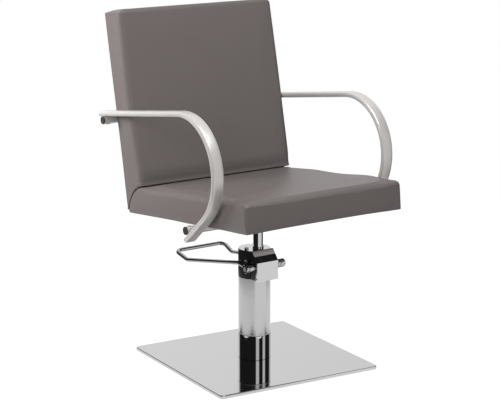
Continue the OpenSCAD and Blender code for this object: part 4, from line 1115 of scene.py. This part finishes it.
def scaled(tone, share):
    return tuple(share * t for t in tone)


def leather():
    """Smooth semi-gloss leather: fine cells of grain, soft clouds of tone, and painted shade along
    its seams.
    """
    f = Finish("leather", Specular_IOR_Level=0.45, Specular_Tint=(1.0, 0.9, 0.88))
    clouds = f.noise(CLOUDS, detail=3.0)
    mottles = f.noise(MOTTLES, detail=2.0)
    tone = f.mix(clouds * 0.6 + mottles * 0.4, *LEATHER)
    cells = f.node("TexVoronoi", {"feature": "DISTANCE_TO_EDGE"},
                   {"Vector": f.place(), "Scale": CELLS})
    grain = cells.rise(0.0, CELL_EDGE) + f.noise(PORES, detail=2.0) * 0.8
    # Painted shade: the colour darkens along the seams, where their grooves would be in shade
    seam = f.node("Attribute", {"attribute_name": "seam"}).out("Fac").rise(0.5, 1.0)
    f.colour(seam * SEAM_SHADE_SHARE, tone, LEATHER_SEAM_SHADE)
    f.set("Roughness", clouds * 0.06 + mottles * 0.05 + 0.37)
    f.bump(grain, CELL_DEPTH, strength=0.5)
    return f


def mirror(name, tone, roughness):
    """Chrome with faint haze."""
    f = Finish(name, Metallic=1.0)
    haze = f.noise(HAZE, detail=4.0)
    f.colour(haze, tone, scaled(tone, 0.97))
    f.roughen(haze.rise(0.35, 0.8), least=roughness, spread=0.03)
    return f


def turned_metal(name, tone, roughness):
    """Metal turned on a lathe, with fine rings."""
    f = Finish(name, Metallic=1.0)
    rings = f.noise(1.0, detail=2.0, at=f.stretched(RING_STRETCH))
    f.colour(rings, scaled(tone, 0.94), tone)
    f.roughen(rings, least=roughness - 0.04, spread=0.08)
    f.bump(rings, RING_DEPTH, strength=0.3)
    return f


COLLAR_FOOT = 0.011
COLLAR_TOP = 0.085
# The ring's tone is a painted highlight, for a chamfer that catches light; the lines' tone is
# painted shade, for the gap under the ring and at the foot
PAINTED_HIGHLIGHT_RING = (0.7, 0.7, 0.7)
PAINTED_SHADE_LINE = (0.05, 0.05, 0.05)
# The painted highlight ring at the collar's top, the painted shade line under it and at its foot,
# and their soft edges
COLLAR_RING = 0.0035
COLLAR_LINE = 0.0012
LINE_SOFT = 0.0002
FOOT_LINE_END = 0.0008


def collar_finish():
    """Chrome with a rougher ring at its top, painted brighter as a highlight, and painted shade
    lines under the ring and at the foot.
    """
    f = Finish("collar_chrome", Metallic=1.0)
    z = f.node("SeparateXYZ", None, [f.place()]).out("Z")
    ring_z = COLLAR_TOP - COLLAR_RING
    ring = z.rise(ring_z - LINE_SOFT, ring_z + LINE_SOFT)
    foot = z.rise(COLLAR_FOOT + COLLAR_LINE, COLLAR_FOOT + FOOT_LINE_END)
    # Painted shade lines, over the ring's painted highlight
    lines = z.band(ring_z - COLLAR_LINE, ring_z, LINE_SOFT) + foot
    f.colour(lines, f.mix(ring, CHROME, PAINTED_HIGHLIGHT_RING), PAINTED_SHADE_LINE)
    f.roughen(ring, least=0.04, spread=0.3)
    return f


def arm_finish():
    """Pale metallic paint with fine flecks."""
    f = Finish("arm_metal", Metallic=0.35)
    flecks = f.noise(FLECKS, detail=2.0)
    clouds = f.noise(ARM_CLOUDS, detail=3.0)
    f.colour(clouds * 0.5 + flecks * 0.5, *ARM_PAINT)
    f.roughen(flecks, least=0.32, spread=0.1)
    f.bump(flecks, FLECK_DEPTH, strength=0.35)
    return f


def matt_finish(name, tone, roughness, tooth=TOOTH, depth=TOOTH_DEPTH):
    """Rubber, cloth, plastic or plain paint with a fine tooth."""
    f = Finish(name)
    teeth = f.noise(tooth, detail=3.0)
    f.colour(teeth, scaled(tone, 0.85), scaled(tone, 1.1))
    f.roughen(teeth, least=roughness - 0.06, spread=0.12)
    f.bump(teeth, depth, strength=0.4)
    return f


def gloss_paint():
    """Black paint on a casting."""
    f = Finish("head_black", Coat_Weight=0.1, Coat_Roughness=0.04, Specular_IOR_Level=0.2)
    cast = f.noise(CAST, detail=3.0)
    f.colour(cast, *HEAD_BLACK)
    f.roughen(cast, least=0.16, spread=0.08)
    f.bump(cast, CAST_DEPTH, strength=0.25)
    return f


def plywood():
    f = Finish("plywood")
    grain = f.noise(1.0, detail=4.0, roughness=0.6, at=f.stretched(GRAIN_STRETCH))
    f.colour(grain.rise(0.35, 0.7), *PLYWOOD)
    f.roughen(grain, least=0.6, spread=0.15)
    f.bump(grain, PLY_DEPTH, strength=0.4)
    return f


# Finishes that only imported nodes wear: their kind, tone, roughness and nodes
PLAIN = {
    "plate_chrome": (mirror, CHROME, POLISH, "base_plate"),
    "cap_chrome": (mirror, CHROME, POLISH, "head_cap", "rod_gland"),
    "cover_metal": (mirror, CHROME, POLISH, "head_cover"),
    "rod_chrome": (mirror, CHROME, POLISH, "lift_rod"),
    "sleeve_satin": (mirror, SATIN, 0.2, "column_sleeve"),
    "foot_steel": (turned_metal, (0.45, 0.455, 0.46), 0.3, "column_foot", "pump_cylinder",
                   "pedal_shaft", "pedal_cam", "pump_plunger", "plunger_spring", "shaft_bushes"),
    "saddle_steel": (turned_metal, (0.52, 0.53, 0.54), 0.32, "front_saddles", "rear_saddles"),
    "bearing_bronze": (turned_metal, (0.6, 0.42, 0.2), 0.3, "rod_bush", "piston", "swivel_washer"),
    "mount_black": (matt_finish, (0.03, 0.03, 0.032), 0.42, "seat_mount", "back_straps"),
    "pad_rubber": (matt_finish, (0.05, 0.05, 0.05), 0.85, "floor_pad"),
    "seal_rubber": (matt_finish, (0.03, 0.03, 0.03), 0.6, "wiper_seal", "piston_seal"),
    "plug_plastic": (matt_finish, (0.045, 0.043, 0.042), 0.5, "tube_plugs"),
}


def dress():
    """Makes the pieces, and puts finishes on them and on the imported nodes."""
    leather().wear(*make_cushions(), *make_panel())
    arm_finish().wear(make_arm("arm_left", -1), make_arm("arm_right", 1),
                      "front_cross_tube", "rear_cross_tube", "arm_bolts")
    # The pedal wears the darker copy of the chrome: painted shade
    mirror("pedal_chrome", SHADED_PEDAL_CHROME, POLISH).wear(
        make_pedal(), "pedal_hub_left", "pedal_hub_right")
    matt_finish("dust_cloth", (0.03, 0.03, 0.03), 0.95, tooth=900.0, depth=0.0002).wear(
        make_dust_cloth())
    turned_metal("bolt_steel", (0.5, 0.5, 0.5), 0.3).wear(
        make_staples(), "base_bolts", "cover_screws", "filler_plug", "side_plug", "hub_screws",
        "mount_screws", "strap_screws", "saddle_screws")
    collar_finish().wear("base_collar")
    gloss_paint().wear("pump_head")
    plywood().wear("seat_board", "back_board")
    for name, (kind, tone, roughness, *worn) in PLAIN.items():
        kind(name, tone, roughness).wear(*worn)


make_camera()
make_world()
make_floor()
make_lamps()
dress()

bpy.context.scene.view_settings.view_transform = "Standard"
